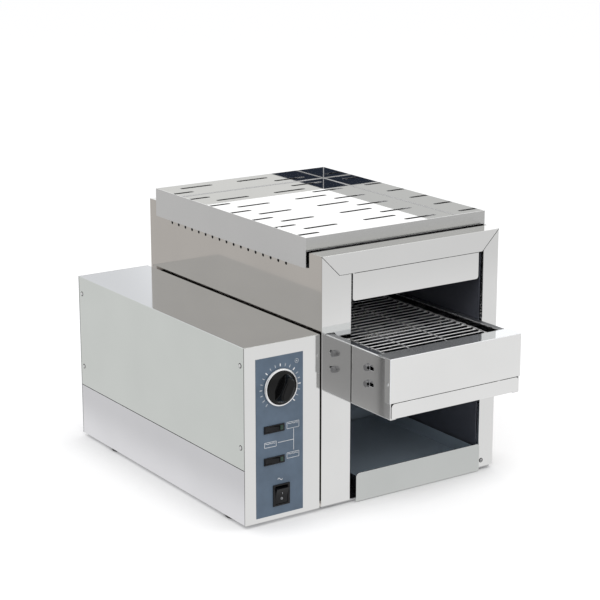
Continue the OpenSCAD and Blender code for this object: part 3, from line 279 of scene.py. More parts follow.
def frame_strip(outer: Points, inner: Points, axis: Axis, low: float, high: float) -> Surface:
    """A closed band between two outlines of equally many points, from low to high along the axis.

    The band's section goes round the corners (outer, low), (outer, high), (inner, high),
    (inner, low) and back.

    Args:
        outer: array (n, 2).
        inner: array (n, 2).
        axis: the direction of the depth.
        low: where the band starts.
        high: where it ends.

    Returns:
        The closed surface.
    """
    a, b = axis.others
    points = np.empty((4, len(outer), 3))
    for row, (line, level) in enumerate([(outer, low), (outer, high), (inner, high), (inner, low)]):
        points[row, :, a] = line[:, 0]
        points[row, :, b] = line[:, 1]
        points[row, :, axis.index] = level
    return grid(points, wrap_u=True, wrap_v=True)


def block(x: Pair, y: Pair, z: Pair) -> Surface:
    """A plain box that spans the three ranges."""
    outline = np.array([[x[0], y[0]], [x[1], y[0]], [x[1], y[1]], [x[0], y[1]]])
    return prism(outline, Axis.Z, *z)


def screw_head(r: float, h: float, base: Place, axis: Axis, sign: float) -> Surface:
    """A domed screw head.

    The profile rises from the rim to the middle as a quarter ellipse, and closes with a flat.

    Args:
        r: radius.
        h: height.
        base: middle of the face that it sits on.
        axis: the direction that it points in.
        sign: -1 points it against the axis.

    Returns:
        The surface.
    """
    t = np.linspace(0, pi / 2, 9)
    dome = [(r * float(np.cos(a)), h * float(np.sin(a))) for a in t]
    return lathe([(0, 0)] + dome, base, axis, 24, sign)


def washer(inner: float, outer: float, h: float, base: Place, axis: Axis) -> Surface:
    """A flat ring that stands h out of a face against the axis; it is only built near-black, as painted
    shade round screw heads.
    """
    return lathe([(inner, 0), (outer, 0), (outer, h), (inner, h), (inner, 0)], base, axis, 32, -1.0)


# ---- finishes ----


UNIT: Pair = (0.0, 1.0)
NOISE_RANGE: Pair = (0.3, 0.7)             # where most of a noise's values lie


class Tree:
    """A node tree, with short calls for the nodes that the finishes and the studio share."""

    def __init__(self, owner: bpy.types.Material | bpy.types.World) -> None:
        """Takes over a tree and empties it.

        Args:
            owner: the material or world that the tree belongs to.
        """
        owner.use_nodes = True
        self.owner = owner
        self.tree = owner.node_tree
        self.tree.nodes.clear()

    def feed(self, value: Value, target: Socket) -> None:
        """Links a socket to a target, or sets the target to a plain value.

        Args:
            value: a socket, or a number, a vector or an opaque colour.
            target: the input that takes it.
        """
        if isinstance(value, Socket):
            self.tree.links.new(value, target)
        elif target.type == "RGBA":
            target.default_value = (*value, 1)
        else:
            target.default_value = value

    def add(self, kind: str, *values: Value, **named: Value) -> bpy.types.Node:
        """Adds a node and feeds its inputs.

        Args:
            kind: its type, without the words that all of them start with.
            values: what feeds the first inputs, in order.
            named: what feeds others; an underscore in a name stands for a space.

        Returns:
            The node.
        """
        node = self.tree.nodes.new("ShaderNode" + kind)
        for value, target in zip(values, node.inputs):
            self.feed(value, target)
        for name, value in named.items():
            self.feed(value, node.inputs[name.replace("_", " ")])
        return node

    def place(self, scale: Place = (1, 1, 1)) -> Socket:
        """Object coordinates in metres, stretched by a scale."""
        coord = self.add("TexCoord")
        return self.add("Mapping", Vector=coord.outputs["Object"], Scale=scale).outputs["Vector"]

    def noise(self, place: Socket, scale: float, detail: float) -> Socket:
        """Smooth noise, 0 to 1."""
        return self.add("TexNoise", Vector=place, Scale=scale, Detail=detail).outputs["Fac"]

    def ramp(self, value: Socket, target: Pair, source: Pair = NOISE_RANGE, soft: bool = False) -> Socket:
        """Maps a value from one range to another, and holds it at their ends.

        Args:
            value: the value's socket.
            target: the range that it is mapped to.
            source: the range that it comes from.
            soft: eases in and out, as 3 t^2 - 2 t^3.

        Returns:
            The mapped value.
        """
        node = self.add("MapRange", Value=value, From_Min=source[0], From_Max=source[1],
                        To_Min=target[0], To_Max=target[1])
        node.interpolation_type = "SMOOTHSTEP" if soft else "LINEAR"
        return node.outputs["Result"]

    def mixed(self, factor: Socket, first: Value, second: Value) -> Socket:
        """Mixes two colours.

        Args:
            factor: 0 gives the first and 1 the second.
            first: a colour or a socket.
            second: a colour or a socket.

        Returns:
            The mixed colour.
        """
        node = self.add("Mix", factor)
        node.data_type = "RGBA"
        self.feed(first, node.inputs[6])
        self.feed(second, node.inputs[7])
        return node.outputs[2]

    def maths(self, operation: str, *values: Value) -> Socket:
        """Works out one step of arithmetic.

        Args:
            operation: the step's name.
            values: what it takes.

        Returns:
            The result.
        """
        node = self.add("Math", *values)
        node.operation = operation
        return node.outputs[0]

    def relief(self, height: Socket, depth: float, strength: float, under: Socket | None = None) -> Socket:
        """Bends the surface's normal by a height.

        Args:
            height: the height, 0 to 1.
            depth: what a height of 1 stands for, in metres.
            strength: the share of the bend that counts.
            under: the normal of a relief under this one.

        Returns:
            The bent normal.
        """
        node = self.add("Bump", Strength=strength, Distance=depth, Height=height)
        if under is not None:
            self.feed(under, node.inputs["Normal"])
        return node.outputs["Normal"]


class Shaded(Tree):
    """A material's tree round one shader."""

    def __init__(self, title: str) -> None:
        """Starts a material that holds the shader and its output.

        Args:
            title: the material's name.
        """
        super().__init__(bpy.data.materials.new(title))
        self.shader = self.add("BsdfPrincipled")
        self.add("OutputMaterial", Surface=self.shader.outputs[0])

    def finish(self, **named: Value) -> bpy.types.Material:
        """Feeds the shader's inputs.

        Args:
            named: what feeds them; an underscore in a name stands for a space.

        Returns:
            The material.
        """
        for name, value in named.items():
            self.feed(value, self.shader.inputs[name.replace("_", " ")])
        return self.owner


@dataclass(frozen=True)
class Metal:
    """A bare metal: fine lines along one direction, cloudy smudges and a slight waviness."""

    slot: str
    colour: Colour
    roughness: float
    grain: Axis
    grain_strength: float
    cloud: float
    wave: float
    shade: float
    metallic: float = 1.0
    lines_along: float = 12.0
    lines_across: float = 900.0
    line_depth: float = 0.00002
    cloud_scale: float = 9.0
    wave_scale: float = 7.0

    def material(self, title: str) -> bpy.types.Material:
        """Builds the material.

        A cloudy noise moves the roughness from half of cloud below its base value to cloud above
        it, and the colour between its base and shade times the base. The normal follows a noise
        of fine lines and, where wave is set, a broad one.

        Args:
            title: the material's name.

        Returns:
            The material.
        """
        nodes = Shaded(title)
        stretch = [self.lines_across] * 3
        stretch[self.grain.index] = self.lines_along
        lines = nodes.noise(nodes.place(tuple(stretch)), 1.0, 2.0)
        clouds = nodes.noise(nodes.place(), self.cloud_scale, 4.0)
        darker = tuple(self.shade * c for c in self.colour)
        normal = nodes.relief(lines, self.line_depth, self.grain_strength)
        if self.wave:
            broad = nodes.noise(nodes.place(), self.wave_scale, 1.0)
            normal = nodes.relief(broad, self.wave, 1.0, normal)
        return nodes.finish(
            Base_Color=nodes.mixed(nodes.ramp(clouds, UNIT), self.colour, darker),
            Metallic=self.metallic,
            Roughness=nodes.ramp(clouds, (self.roughness - self.cloud / 2, self.roughness + self.cloud)),
            Normal=normal)


@dataclass(frozen=True)
class Moulded:
    """A moulded or painted surface with a fine grain and slight cloudiness."""

    slot: str
    colour: Colour
    roughness: float
    grain_scale: float
    grain_depth: float
    specular: float = 0.5
    grain_strength: float = 0.6
    cloud_scale: float = 40.0
    lift: Pair = (1.25, 0.003)
    gloss: Pair = (0.85, 1.2)

    def material(self, title: str) -> bpy.types.Material:
        """Builds the material.

        A fine noise lifts the surface and moves the roughness between its gloss shares; a cloudy
        one drifts the colour c towards c times the first lift plus the second.

        Args:
            title: the material's name.

        Returns:
            The material.
        """
        nodes = Shaded(title)
        fine = nodes.noise(nodes.place(), self.grain_scale, 2.0)
        clouds = nodes.noise(nodes.place(), self.cloud_scale, 3.0)
        lighter = tuple(min(1.0, c * self.lift[0] + self.lift[1]) for c in self.colour)
        low, high = self.gloss
        return nodes.finish(
            Base_Color=nodes.mixed(nodes.ramp(clouds, UNIT), self.colour, lighter),
            Roughness=nodes.ramp(fine, (self.roughness * low, self.roughness * high)),
            Normal=nodes.relief(fine, self.grain_depth, self.grain_strength),
            Specular_IOR_Level=self.specular)


@dataclass(frozen=True)
class Quartz:
    """Clear quartz glass with a faint haze."""

    slot: str = "quartz"
    colour: Colour = (0.93, 0.92, 0.90)
    hazy: Colour = (0.86, 0.85, 0.83)
    haze_scale: float = 60.0
    roughness: Pair = (0.02, 0.12)
    index: float = 1.46

    def material(self, title: str) -> bpy.types.Material:
        """Builds the material: glass whose tint and roughness drift with a soft noise.

        Args:
            title: the material's name.

        Returns:
            The material.
        """
        nodes = Shaded(title)
        haze = nodes.noise(nodes.place(), self.haze_scale, 3.0)
        return nodes.finish(
            Base_Color=nodes.mixed(nodes.ramp(haze, UNIT), self.colour, self.hazy),
            Roughness=nodes.ramp(haze, self.roughness), Transmission_Weight=1.0, IOR=self.index)


STEEL: Colour = (0.76, 0.76, 0.755)


class Finish(Enum):
    """Every finish on the toaster."""

    MIRROR = Metal("polished_steel", STEEL, 0.035, Axis.X, 0.02, 0.02, 0.00002, 0.97)
    STILE = Metal("polished_steel", STEEL, 0.05, Axis.Z, 0.02, 0.03, 0.00003, 0.95)
    # painted shade and reflection: a darker, warmer copy of the stiles' steel for the housing's outer side
    # faces
    SIDE = Metal("polished_steel", (0.54, 0.51, 0.475), 0.08, Axis.Y, 0.03, 0.03, 0.00003, 0.95)
    PLATE = Metal("polished_steel", (0.75, 0.745, 0.74), 0.17, Axis.Y, 0.05, 0.03, 0.00002, 0.96)
    # painted shade: SKIRT and SKIRT_SIDE are one steel in two tones, darker on the tray's front and back
    # skirts
    SKIRT = Metal("polished_steel", (0.52, 0.52, 0.515), 0.24, Axis.X, 0.03, 0.03, 0.0, 0.97)
    SKIRT_SIDE = Metal("polished_steel", (0.61, 0.605, 0.60), 0.24, Axis.Y, 0.03, 0.03, 0.0, 0.97)
    FRONT = Metal("polished_steel", (0.81, 0.81, 0.805), 0.04, Axis.X, 0.02, 0.02, 0.00002, 0.97)
    DRAWER = Metal("polished_steel", (0.555, 0.57, 0.56), 0.07, Axis.X, 0.02, 0.03, 0.00002, 0.96)
    # painted reflection: a bluer, partly non-metal copy of the steel for the cover's landing
    LANDING = Metal("polished_steel", (0.74, 0.76, 0.78), 0.06, Axis.X, 0.02, 0.02, 0.00003, 0.95, 0.75)
    # painted highlight: a near-white copy of the steel for fold roundings
    EDGE = Metal("polished_steel", (0.96, 0.97, 0.98), 0.3, Axis.Y, 0.05, 0.02, 0.0, 0.97, 0.1)
    # painted reflection: a mid grey for the warming tray's roundings
    TRAY_EDGE = Metal("polished_steel", (0.60, 0.60, 0.60), 0.4, Axis.Y, 0.05, 0.02, 0.0, 0.97, 0.1)
    # painted shade: a dark copy of the steel for top faces that look into the dark tunnel
    SOOT = Metal("polished_steel", (0.16, 0.17, 0.19), 0.25, Axis.Y, 0.2, 0.2, 0.0002, 0.4, 0.3)
    # painted reflection: slate-blue, non-metal colour standing in for steel that reflects the dark cavity
    RAMP = Metal("polished_steel", (0.40, 0.48, 0.56), 0.30, Axis.X, 0.1, 0.06, 0.0001, 0.85, 0.0)
    CUT = Metal("polished_steel", (0.12, 0.12, 0.12), 0.5, Axis.X, 0.2, 0.05, 0.0, 0.9)
    COVER = Metal("satin_steel", (0.735, 0.762, 0.735), 0.08, Axis.Y, 0.04, 0.03, 0.00003, 0.96)
    SATIN = Metal("satin_steel", (0.745, 0.742, 0.765), 0.09, Axis.Y, 0.05, 0.04, 0.00003, 0.95)
    # painted reflection: a cooler copy of the cover's steel for its top faces
    TOP = Metal("satin_steel", (0.735, 0.755, 0.785), 0.08, Axis.Y, 0.04, 0.03, 0.00003, 0.97)
    PLAIN = Metal("plain_steel", (0.45, 0.45, 0.46), 0.35, Axis.Y, 0.3, 0.1, 0.0, 0.85)
    # painted shade: a dark bluish copy of the aluminised steel for sheets inside the housing
    HEATED = Metal("aluminised_steel", (0.09, 0.10, 0.12), 0.28, Axis.Y, 0.2, 0.1, 0.0002, 0.8, 0.6)
    # painted shade: a dark bluish copy of the aluminised steel for the tunnel walls
    WALL = Metal("aluminised_steel", (0.16, 0.17, 0.205), 0.07, Axis.Y, 0.05, 0.03, 0.00003, 0.85, 0.45)
    REFLECTOR = Metal("aluminised_steel", (0.80, 0.80, 0.81), 0.25, Axis.Y, 0.1, 0.05, 0.0001, 0.9, 0.3)
    # painted shade: near-black steel for the belt's lower run and the parts under it
    BAR = Metal("plain_steel", (0.035, 0.035, 0.04), 0.35, Axis.Y, 0.3, 0.1, 0.0, 0.85)
    TURNED = Metal("machined_steel", (0.60, 0.60, 0.61), 0.2, Axis.Y, 0.4, 0.05, 0.0, 0.9)
    # painted highlight: a pure white base, brighter than bare steel, so the rods and links read bright
    WIRE = Metal("belt_steel", (1.0, 1.0, 1.0), 0.17, Axis.X, 0.1, 0.03, 0.0, 0.97, 0.25)
    LINK = Metal("belt_steel", (1.0, 1.0, 1.0), 0.2, Axis.Y, 0.1, 0.03, 0.0, 0.97, 0.5)
    NUT = Metal("zinc_screw", (0.42, 0.42, 0.43), 0.06, Axis.Z, 0.05, 0.02, 0.0, 0.95)
    DOME = Metal("zinc_screw", (0.78, 0.78, 0.78), 0.06, Axis.Z, 0.05, 0.02, 0.0, 0.95)
    BRONZE = Metal("bronze", (0.60, 0.45, 0.22), 0.32, Axis.X, 0.3, 0.1, 0.0, 0.8)
    RING = Metal("bright_ring", (0.90, 0.90, 0.91), 0.22, Axis.Y, 0.05, 0.02, 0.0, 0.97)
    COIL = Metal("quartz", (0.90, 0.87, 0.82), 0.25, Axis.X, 0.2, 0.1, 0.0, 0.8)
    QUARTZ = Quartz()
    CERAMIC = Moulded("ceramic", (0.80, 0.77, 0.70), 0.3, 900.0, 0.00004)
    LABEL = Moulded("label_blue", (0.094, 0.136, 0.190), 0.38, 2600.0, 0.00001)
    PRINT = Moulded("label_blue", (0.80, 0.81, 0.82), 0.45, 2600.0, 0.00001)
    KNOB = Moulded("knob_black", (0.0015, 0.0015, 0.0018), 0.09, 1500.0, 0.000004, specular=0.22)
    SWITCH = Moulded("switch_black", (0.004, 0.004, 0.005), 0.2, 2200.0, 0.00001, specular=0.25)
    MARK = Moulded("switch_black", (0.36, 0.37, 0.38), 0.4, 2200.0, 0.00001)
    LENS = Moulded("lens_green", (0.004, 0.035, 0.018), 0.15, 1600.0, 0.00003, specular=0.5)
    DARK = Moulded("dark_plastic", (0.03, 0.03, 0.03), 0.45, 1500.0, 0.00003)
    SPACER = Moulded("spacer_black", (0.015, 0.015, 0.015), 0.7, 700.0, 0.00006)
    SHADOW = Moulded("spacer_black", (0.004, 0.004, 0.004), 0.8, 700.0, 0.00002, specular=0.1)
    MOTOR = Moulded("motor_grey", (0.20, 0.21, 0.22), 0.4, 1100.0, 0.00004)
    BOARD = Moulded("board_green", (0.02, 0.12, 0.05), 0.3, 1800.0, 0.00002)
    NYLON = Moulded("nylon_white", (0.80, 0.78, 0.70), 0.4, 1400.0, 0.00002)
    RUBBER = Moulded("foot_rubber", (0.02, 0.02, 0.02), 0.65, 900.0, 0.00006)

    def dress(self, piece: bpy.types.Object) -> None:
        """Gives a piece this finish as its only material."""
        piece.data.materials.clear()
        self.add_to(piece)

    def add_to(self, piece: bpy.types.Object) -> int:
        """Adds this finish to a piece's materials and says at which index."""
        piece.data.materials.append(bpy.data.materials.get(self.title) or self.value.material(self.title))
        return len(piece.data.materials) - 1

    @property
    def title(self) -> str:
        """The name of its material, which no material of the frame has."""
        return self.name.lower() + "_finish"

    @property
    def slot(self) -> str:
        """The record's slot of this finish."""
        return self.value.slot


# ---- pieces ----


def link_piece(name: str, mesh: bpy.types.Mesh, finish: Finish, body: str,
               nodes: tuple[str, ...]) -> bpy.types.Object:
    """Puts a finished mesh into the scene, hangs it on its body and hides the frame's nodes that it stands
    for.

    Args:
        name: the piece's name.
        mesh: its mesh, in place.
        finish: its finish.
        body: the body that it moves with.
        nodes: the frame's nodes that it stands for.

    Returns:
        The new object.
    """
    piece = bpy.data.objects.new(name, mesh)
    bpy.context.scene.collection.objects.link(piece)
    finish.dress(piece)
    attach(piece, body)
    if nodes:
        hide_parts(*nodes)
    finish.slot
    log.info("%s: %d faces on %s", name, len(mesh.polygons), body)
    return piece


def soften(piece: bpy.types.Object, width: float, segments: int = 2, weighted: bool = False,
           slot: int = -1) -> None:
    """Rounds a piece's edges.

    Args:
        piece: the piece.
        width: the rounding's width.
        segments: faces across it.
        weighted: rounds each edge by its own weight, and not by its angle.
        slot: the index of the roundings' own finish; -1 gives them their neighbours'.
    """
    bevel = piece.modifiers.new("rounded", "BEVEL")
    bevel.width = width / METRE
    bevel.segments = segments
    bevel.material = slot
    bevel.limit_method = "WEIGHT" if weighted else "ANGLE"
    bevel.angle_limit = radians(BEVEL_ANGLE)
    bevel.use_clamp_overlap = not weighted
    bevel.loop_slide = False
    bevel.face_strength_mode = "FSTR_ALL"
    even = piece.modifiers.new("even", "WEIGHTED_NORMAL")
    even.use_face_influence = True
    even.keep_sharp = True


def build(name: str, surface: Surface, finish: Finish, body: str = "root", nodes: tuple[str, ...] = (),
          round_to: float = 0.0, smooth_angle: float = 40.0) -> bpy.types.Object:
    """Makes a piece from a surface.

    Args:
        name: the piece's name.
        surface: its points and faces in the maker's frame.
        finish: its finish.
        body: the body that it moves with.
        nodes: the frame's nodes that it stands for.
        round_to: width of its rounded edges, or 0.
        smooth_angle: edges sharper than this stay sharp.

    Returns:
        The new object.
    """
    mesh = bpy.data.meshes.new(name)
    mesh.from_pydata((surface.points - CORNER) / METRE, [], surface.faces)
    work = bmesh.new()
    work.from_mesh(mesh)
    bmesh.ops.remove_doubles(work, verts=work.verts, dist=CLOSE)
    bmesh.ops.recalc_face_normals(work, faces=work.faces)
    work.to_mesh(mesh)
    work.free()
    mesh.polygons.foreach_set("use_smooth", np.ones(len(mesh.polygons), bool))
    mesh.set_sharp_from_angle(angle=radians(smooth_angle))
    piece = link_piece(name, mesh, finish, body, nodes)
    if round_to:
        soften(piece, round_to)
    return piece


def ways_across(starts: Points, ends: Points, normal: Points) -> np.ndarray:
    """Shortest way inwards from each edge of a flat outline to another of its edges.

    From three places on each edge a line goes along v = normal x u, where u is the edge's
    direction. Another edge from c to d is cut where its part along u changes sign, at the depth
    cv - cu (dv - cv) / (du - cu), and the nearest positive depth counts.

    Args:
        starts: array (n, 3) of the edges' first points, with the face on their left.
        ends: array (n, 3) of their second points.
        normal: the outline's normal.

    Returns:
        Array (n,), infinite where nothing is met.
    """
    u = ends - starts
    shares = np.array([0.1, 0.5, 0.9])
    places = starts[:, None] + u[:, None] * shares[None, :, None]
    u = u / np.linalg.norm(u, axis=-1, keepdims=True)
    v = np.cross(normal, u)
    first = starts[None, None] - places[:, :, None]
    second = ends[None, None] - places[:, :, None]
    cu, du = np.einsum("espk,ek->esp", first, u), np.einsum("espk,ek->esp", second, u)
    cv, dv = np.einsum("espk,ek->esp", first, v), np.einsum("espk,ek->esp", second, v)
    crossed = cu * du < 0
    depth = cv - cu * (dv - cv) / np.where(crossed, du - cu, 1.0)
    return np.where(crossed & (depth > CLOSE), depth, np.inf).min(axis=(1, 2))


def rounding_room(work: bmesh.types.BMesh) -> dict[bmesh.types.BMEdge, float]:
    """Finds how far each sharp edge's rounding may reach, in millimetres.

    Faces in one plane count as one outline, whose edges are the sharp ones.

    Args:
        work: the sheet.

    Returns:
        For each sharp edge, the shorter of the ways across its two faces.
    """
    off_ties = 0.25
    planes: dict[tuple[int, ...], list[bmesh.types.BMLoop]] = {}
    for face in work.faces:
        level = face.normal.dot(face.verts[0].co) * LEVELS + off_ties
        key = tuple(round(v) for v in (*(face.normal * DIRECTIONS), level))
        for loop in face.loops:
            if len(loop.edge.link_faces) == 2 and loop.edge.calc_face_angle(0.0) > radians(FOLD_ANGLE):
                planes.setdefault(key, []).append(loop)
    room: dict[bmesh.types.BMEdge, float] = {}
    for loops in planes.values():
        starts = np.array([loop.vert.co for loop in loops])
        ends = np.array([loop.link_loop_next.vert.co for loop in loops])
        ways = ways_across(starts, ends, np.array(loops[0].face.normal)) * METRE
        for loop, way in zip(loops, ways):
            room[loop.edge] = min(room.get(loop.edge, np.inf), float(way))
    return room


def folded(node: str, finish: Finish, body: str = "root", fold: float = 0.8, rim: float = 0.2,
           thin: float = 1.7, cut: Finish | None = None, bend: Finish | None = None) -> bpy.types.Object:
    """Rounds a frame sheet's folds widely and its cut edges finely.

    The node's triangles are copied, merged and joined into flat faces. A sharp edge whose faces
    are both wider than thin is a fold, and any other one is a cut edge. A rounding reaches over
    two fifths of the way across the narrower face at most. A face's width is twice its area over
    its outline's length.

    Args:
        node: the frame's node, which the piece replaces.
        finish: its finish.
        body: the body that it moves with.
        fold: rounding of the folds.
        rim: rounding of the cut edges.
        thin: the width up to which a face is the sheet's own edge.
        cut: the finish of those edges, where it isn't the sheet's.
        bend: the finish of the roundings, where it isn't their neighbours'.

    Returns:
        The new object.
    """
    flat = radians(1.0)
    reach = 0.4
    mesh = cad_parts[node].data.copy()
    mesh.name = node + "_sheet"
    work = bmesh.new()
    work.from_mesh(mesh)
    bmesh.ops.remove_doubles(work, verts=work.verts, dist=2 * CLOSE)
    bmesh.ops.dissolve_limit(work, angle_limit=flat, verts=work.verts, edges=work.edges)
    weight = work.edges.layers.float.new("bevel_weight_edge")
    for edge, way in rounding_room(work).items():
        edge[weight] = min(fold if way > thin else rim, reach * way) / fold
    for face in work.faces:
        face.smooth = True
        width = 2 * METRE * face.calc_area() / face.calc_perimeter()
        face.material_index = int(cut is not None and width <= thin)
    work.to_mesh(mesh)
    work.free()
    piece = link_piece(node + "_sheet", mesh, finish, body, (node,))
    if cut is not None:
        cut.add_to(piece)
    soften(piece, fold, 2, weighted=True, slot=-1 if bend is None else bend.add_to(piece))
    return piece


def about(level: float) -> Pair:
    """The narrow range of levels in which a sheet's face at a level is found."""
    reach = 0.3
    return level - reach, level + reach


def redress(piece: bpy.types.Object, finish: Finish, axis: Axis, sign: float, levels: Pair,
            edges: bool = False) -> None:
    """Gives another finish to the broad faces that look along an axis between two levels.

    A face is taken where its normal's part along the axis, times sign, is over 0.9 and its
    middle lies between the levels. Faces with a cut edge's finish are left; with edges set,
    those alone are taken, whichever way they look. A sign of 0 takes faces that look any way.

    Args:
        piece: the piece.
        finish: the further finish.
        axis: the direction.
        sign: -1 takes the faces that look against the axis, 0 all of them.
        levels: the lower and the upper one.
        edges: takes cut edges.
    """
    along = 0.9
    low, high = levels
    faces = piece.data.polygons
    normal = np.empty(len(faces) * 3)
    middle = np.empty(len(faces) * 3)
    index = np.empty(len(faces), np.int32)
    faces.foreach_get("normal", normal)
    faces.foreach_get("center", middle)
    faces.foreach_get("material_index", index)
    level = middle.reshape(-1, 3)[:, axis.index] * METRE + CORNER[axis.index]
    cut = np.isin(index, [i for i, m in enumerate(piece.data.materials) if m.name == Finish.CUT.title])
    looks = (normal.reshape(-1, 3)[:, axis.index] * sign > along) | (sign == 0)
    taken = (cut if edges else looks & ~cut) & (level >= low) & (level <= high)
    index[taken] = finish.add_to(piece)
    faces.foreach_set("material_index", index)


def keep(finish: Finish, *nodes: str) -> None:
    """Leaves frame nodes' shapes as they are and gives them a finish.

    Args:
        finish: their finish.
        nodes: their names.
    """
    for node in nodes:
        finish.dress(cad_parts[node])
        log.info("%s: carried over", node)


# ---- sub-assemblies ----


@dataclass
class Housing:
    """The folded shell, its roof and the warming tray on it."""

    foot_r: float = 11.0
    foot_z: float = -5.0
    feet_at: tuple[Place, ...] = (
        (20, 20, -1.2), (274, 20, -1.2), (20, 422.5, -1.2), (274, 422.5, -1.2),
        (-106, 49, 0.2), (-18.4, 49, 0.2), (-106, 359.5, 0.2), (-18.4, 359.5, 0.2))
    screw_at: Place = (272.9, 0.0, 9.6)
    screw_size: Pair = (2.5, 1.3)
    screw_washer: Place = (2.4, 3.3, 0.2)
    screw_slot: Pair = (3.6, 0.7)
    slot_y: Pair = (-1.34, -0.6)
    side_x: Pair = (0.0, 294.0)
    tray_x: Pair = (-2.2, 296.2)
    tray_y: Pair = (33.3, 420.7)
    tray_floor: Pair = (340.0, 343.0)
    # painted shadow strips: under the rail, along the mitres and in the gap behind the tray's skirt
    rail_shadow_x: Pair = (52.3, 262.7)
    rail_shadow_y: Pair = (0.3, 4.0)
    rail_shadow_z: Pair = (311.0, 311.65)
    mitre: tuple[Pair, ...] = (
        (0.05, 339.17), (0.05, 339.95), (0.27, 339.95), (28.52, 311.7), (27.52, 311.7))
    mitre_y: Pair = (-0.04, 0.3)
    gap_y: Pair = (26.0, 28.7)
    gap_z: Pair = (339.5, 340.05)

    def shell(self) -> None:
        """The sides, the rail, the baffle, the back and the roof; the sides' outer faces get painted shade
        and reflection.
        """
        for side, sign, x in zip(("left", "right"), (-1.0, 1.0), self.side_x):
            sheet = folded("housing_" + side, Finish.STILE, cut=Finish.CUT)
            # painted shade and reflection: the outer side faces get a darker, warmer copy of the stiles'
            # steel
            redress(sheet, Finish.SIDE, Axis.X, sign, about(x))
        folded("front_rail", Finish.MIRROR, fold=0.6, rim=0.3, cut=Finish.CUT)
        folded("front_baffle", Finish.MIRROR, cut=Finish.CUT)
        folded("housing_back", Finish.MIRROR, cut=Finish.CUT)
        # painted shade: the roof panel gets the dark inner copy of the steel
        folded("roof_panel", Finish.HEATED)
        folded("base_pan", Finish.PLAIN)
        keep(Finish.PLAIN, "tray_bearers")

    def joints(self) -> None:
        """Painted shadow: near-black strips where the rail meets the stiles and the baffle, and in the gap
        behind the tray's front skirt.
        """
        left = np.array(self.mitre)
        right = left * [-1, 1] + [sum(self.side_x), 0]
        mitres = [prism(line, Axis.Y, *self.mitre_y) for line in (left, right)]
        under = block(self.rail_shadow_x, self.rail_shadow_y, self.rail_shadow_z)
        behind = block(self.side_x, self.gap_y, self.gap_z)
        build("frame_joints", joined([under, *mitres, behind]), Finish.SHADOW)

    def tray(self) -> None:
        """The warming tray: a mirror floor with slot walls painted near-black as shade, roundings in a
        painted grey reflection, and duller skirts painted darker on their front and back faces than at
        their ends.
        """
        # painted reflection: the roundings get a mid grey, lighter than the dark parts of the floor's
        # reflection and darker than its light band
        tray = folded("warming_tray", Finish.MIRROR, fold=0.9, cut=Finish.CUT, bend=Finish.TRAY_EDGE)
        # painted shade: the slots' walls near-black
        redress(tray, Finish.SHADOW, Axis.Z, 1.0, self.tray_floor, edges=True)
        # painted shade: front and back skirt faces darker than the end faces, one steel in two tones
        for axis, (low, high), finish in ((Axis.X, self.tray_x, Finish.SKIRT_SIDE),
                                          (Axis.Y, self.tray_y, Finish.SKIRT)):
            redress(tray, finish, axis, -1.0, about(low))
            redress(tray, finish, axis, 1.0, about(high))

    def stile_screw(self) -> None:
        """Small round-head screw low on the right stile, with a near-black ring under it and a near-black
        slot across it as painted shade.
        """
        x, _, z = self.screw_at
        build("stile_screw", screw_head(*self.screw_size, self.screw_at, Axis.Y, -1.0), Finish.NUT)
        # painted shade: the slot and the ring round the head are near-black
        slot = prism(round_rect(x, z, *self.screw_slot, 0.1, 2), Axis.Y, *self.slot_y)
        ring = washer(*self.screw_washer, self.screw_at, Axis.Y)
        build("stile_screw_washer", ring + slot, Finish.SHADOW)

    def feet(self) -> None:
        """Rubber feet: each a turned pad with a waist and a shallow recess under it."""
        parts = []
        for x, y, top in self.feet_at:
            h = top - self.foot_z
            r = self.foot_r
            profile = [(0, 0.6), (r * 0.55, 0.6), (r * 0.6, 0), (r * 0.86, 0), (r * 0.95, 0.4),
                       (r, h * 0.3), (r * 0.97, h * 0.75), (r * 0.94, h), (0, h)]
            parts.append(lathe(profile, (x, y, self.foot_z)))
        build("rubber_feet", joined(parts), Finish.RUBBER, nodes=("feet",))

    def make(self) -> None:
        """Builds and dresses the whole sub-assembly."""
        self.shell()
        self.joints()
        self.tray()
        self.stile_screw()
        self.feet()


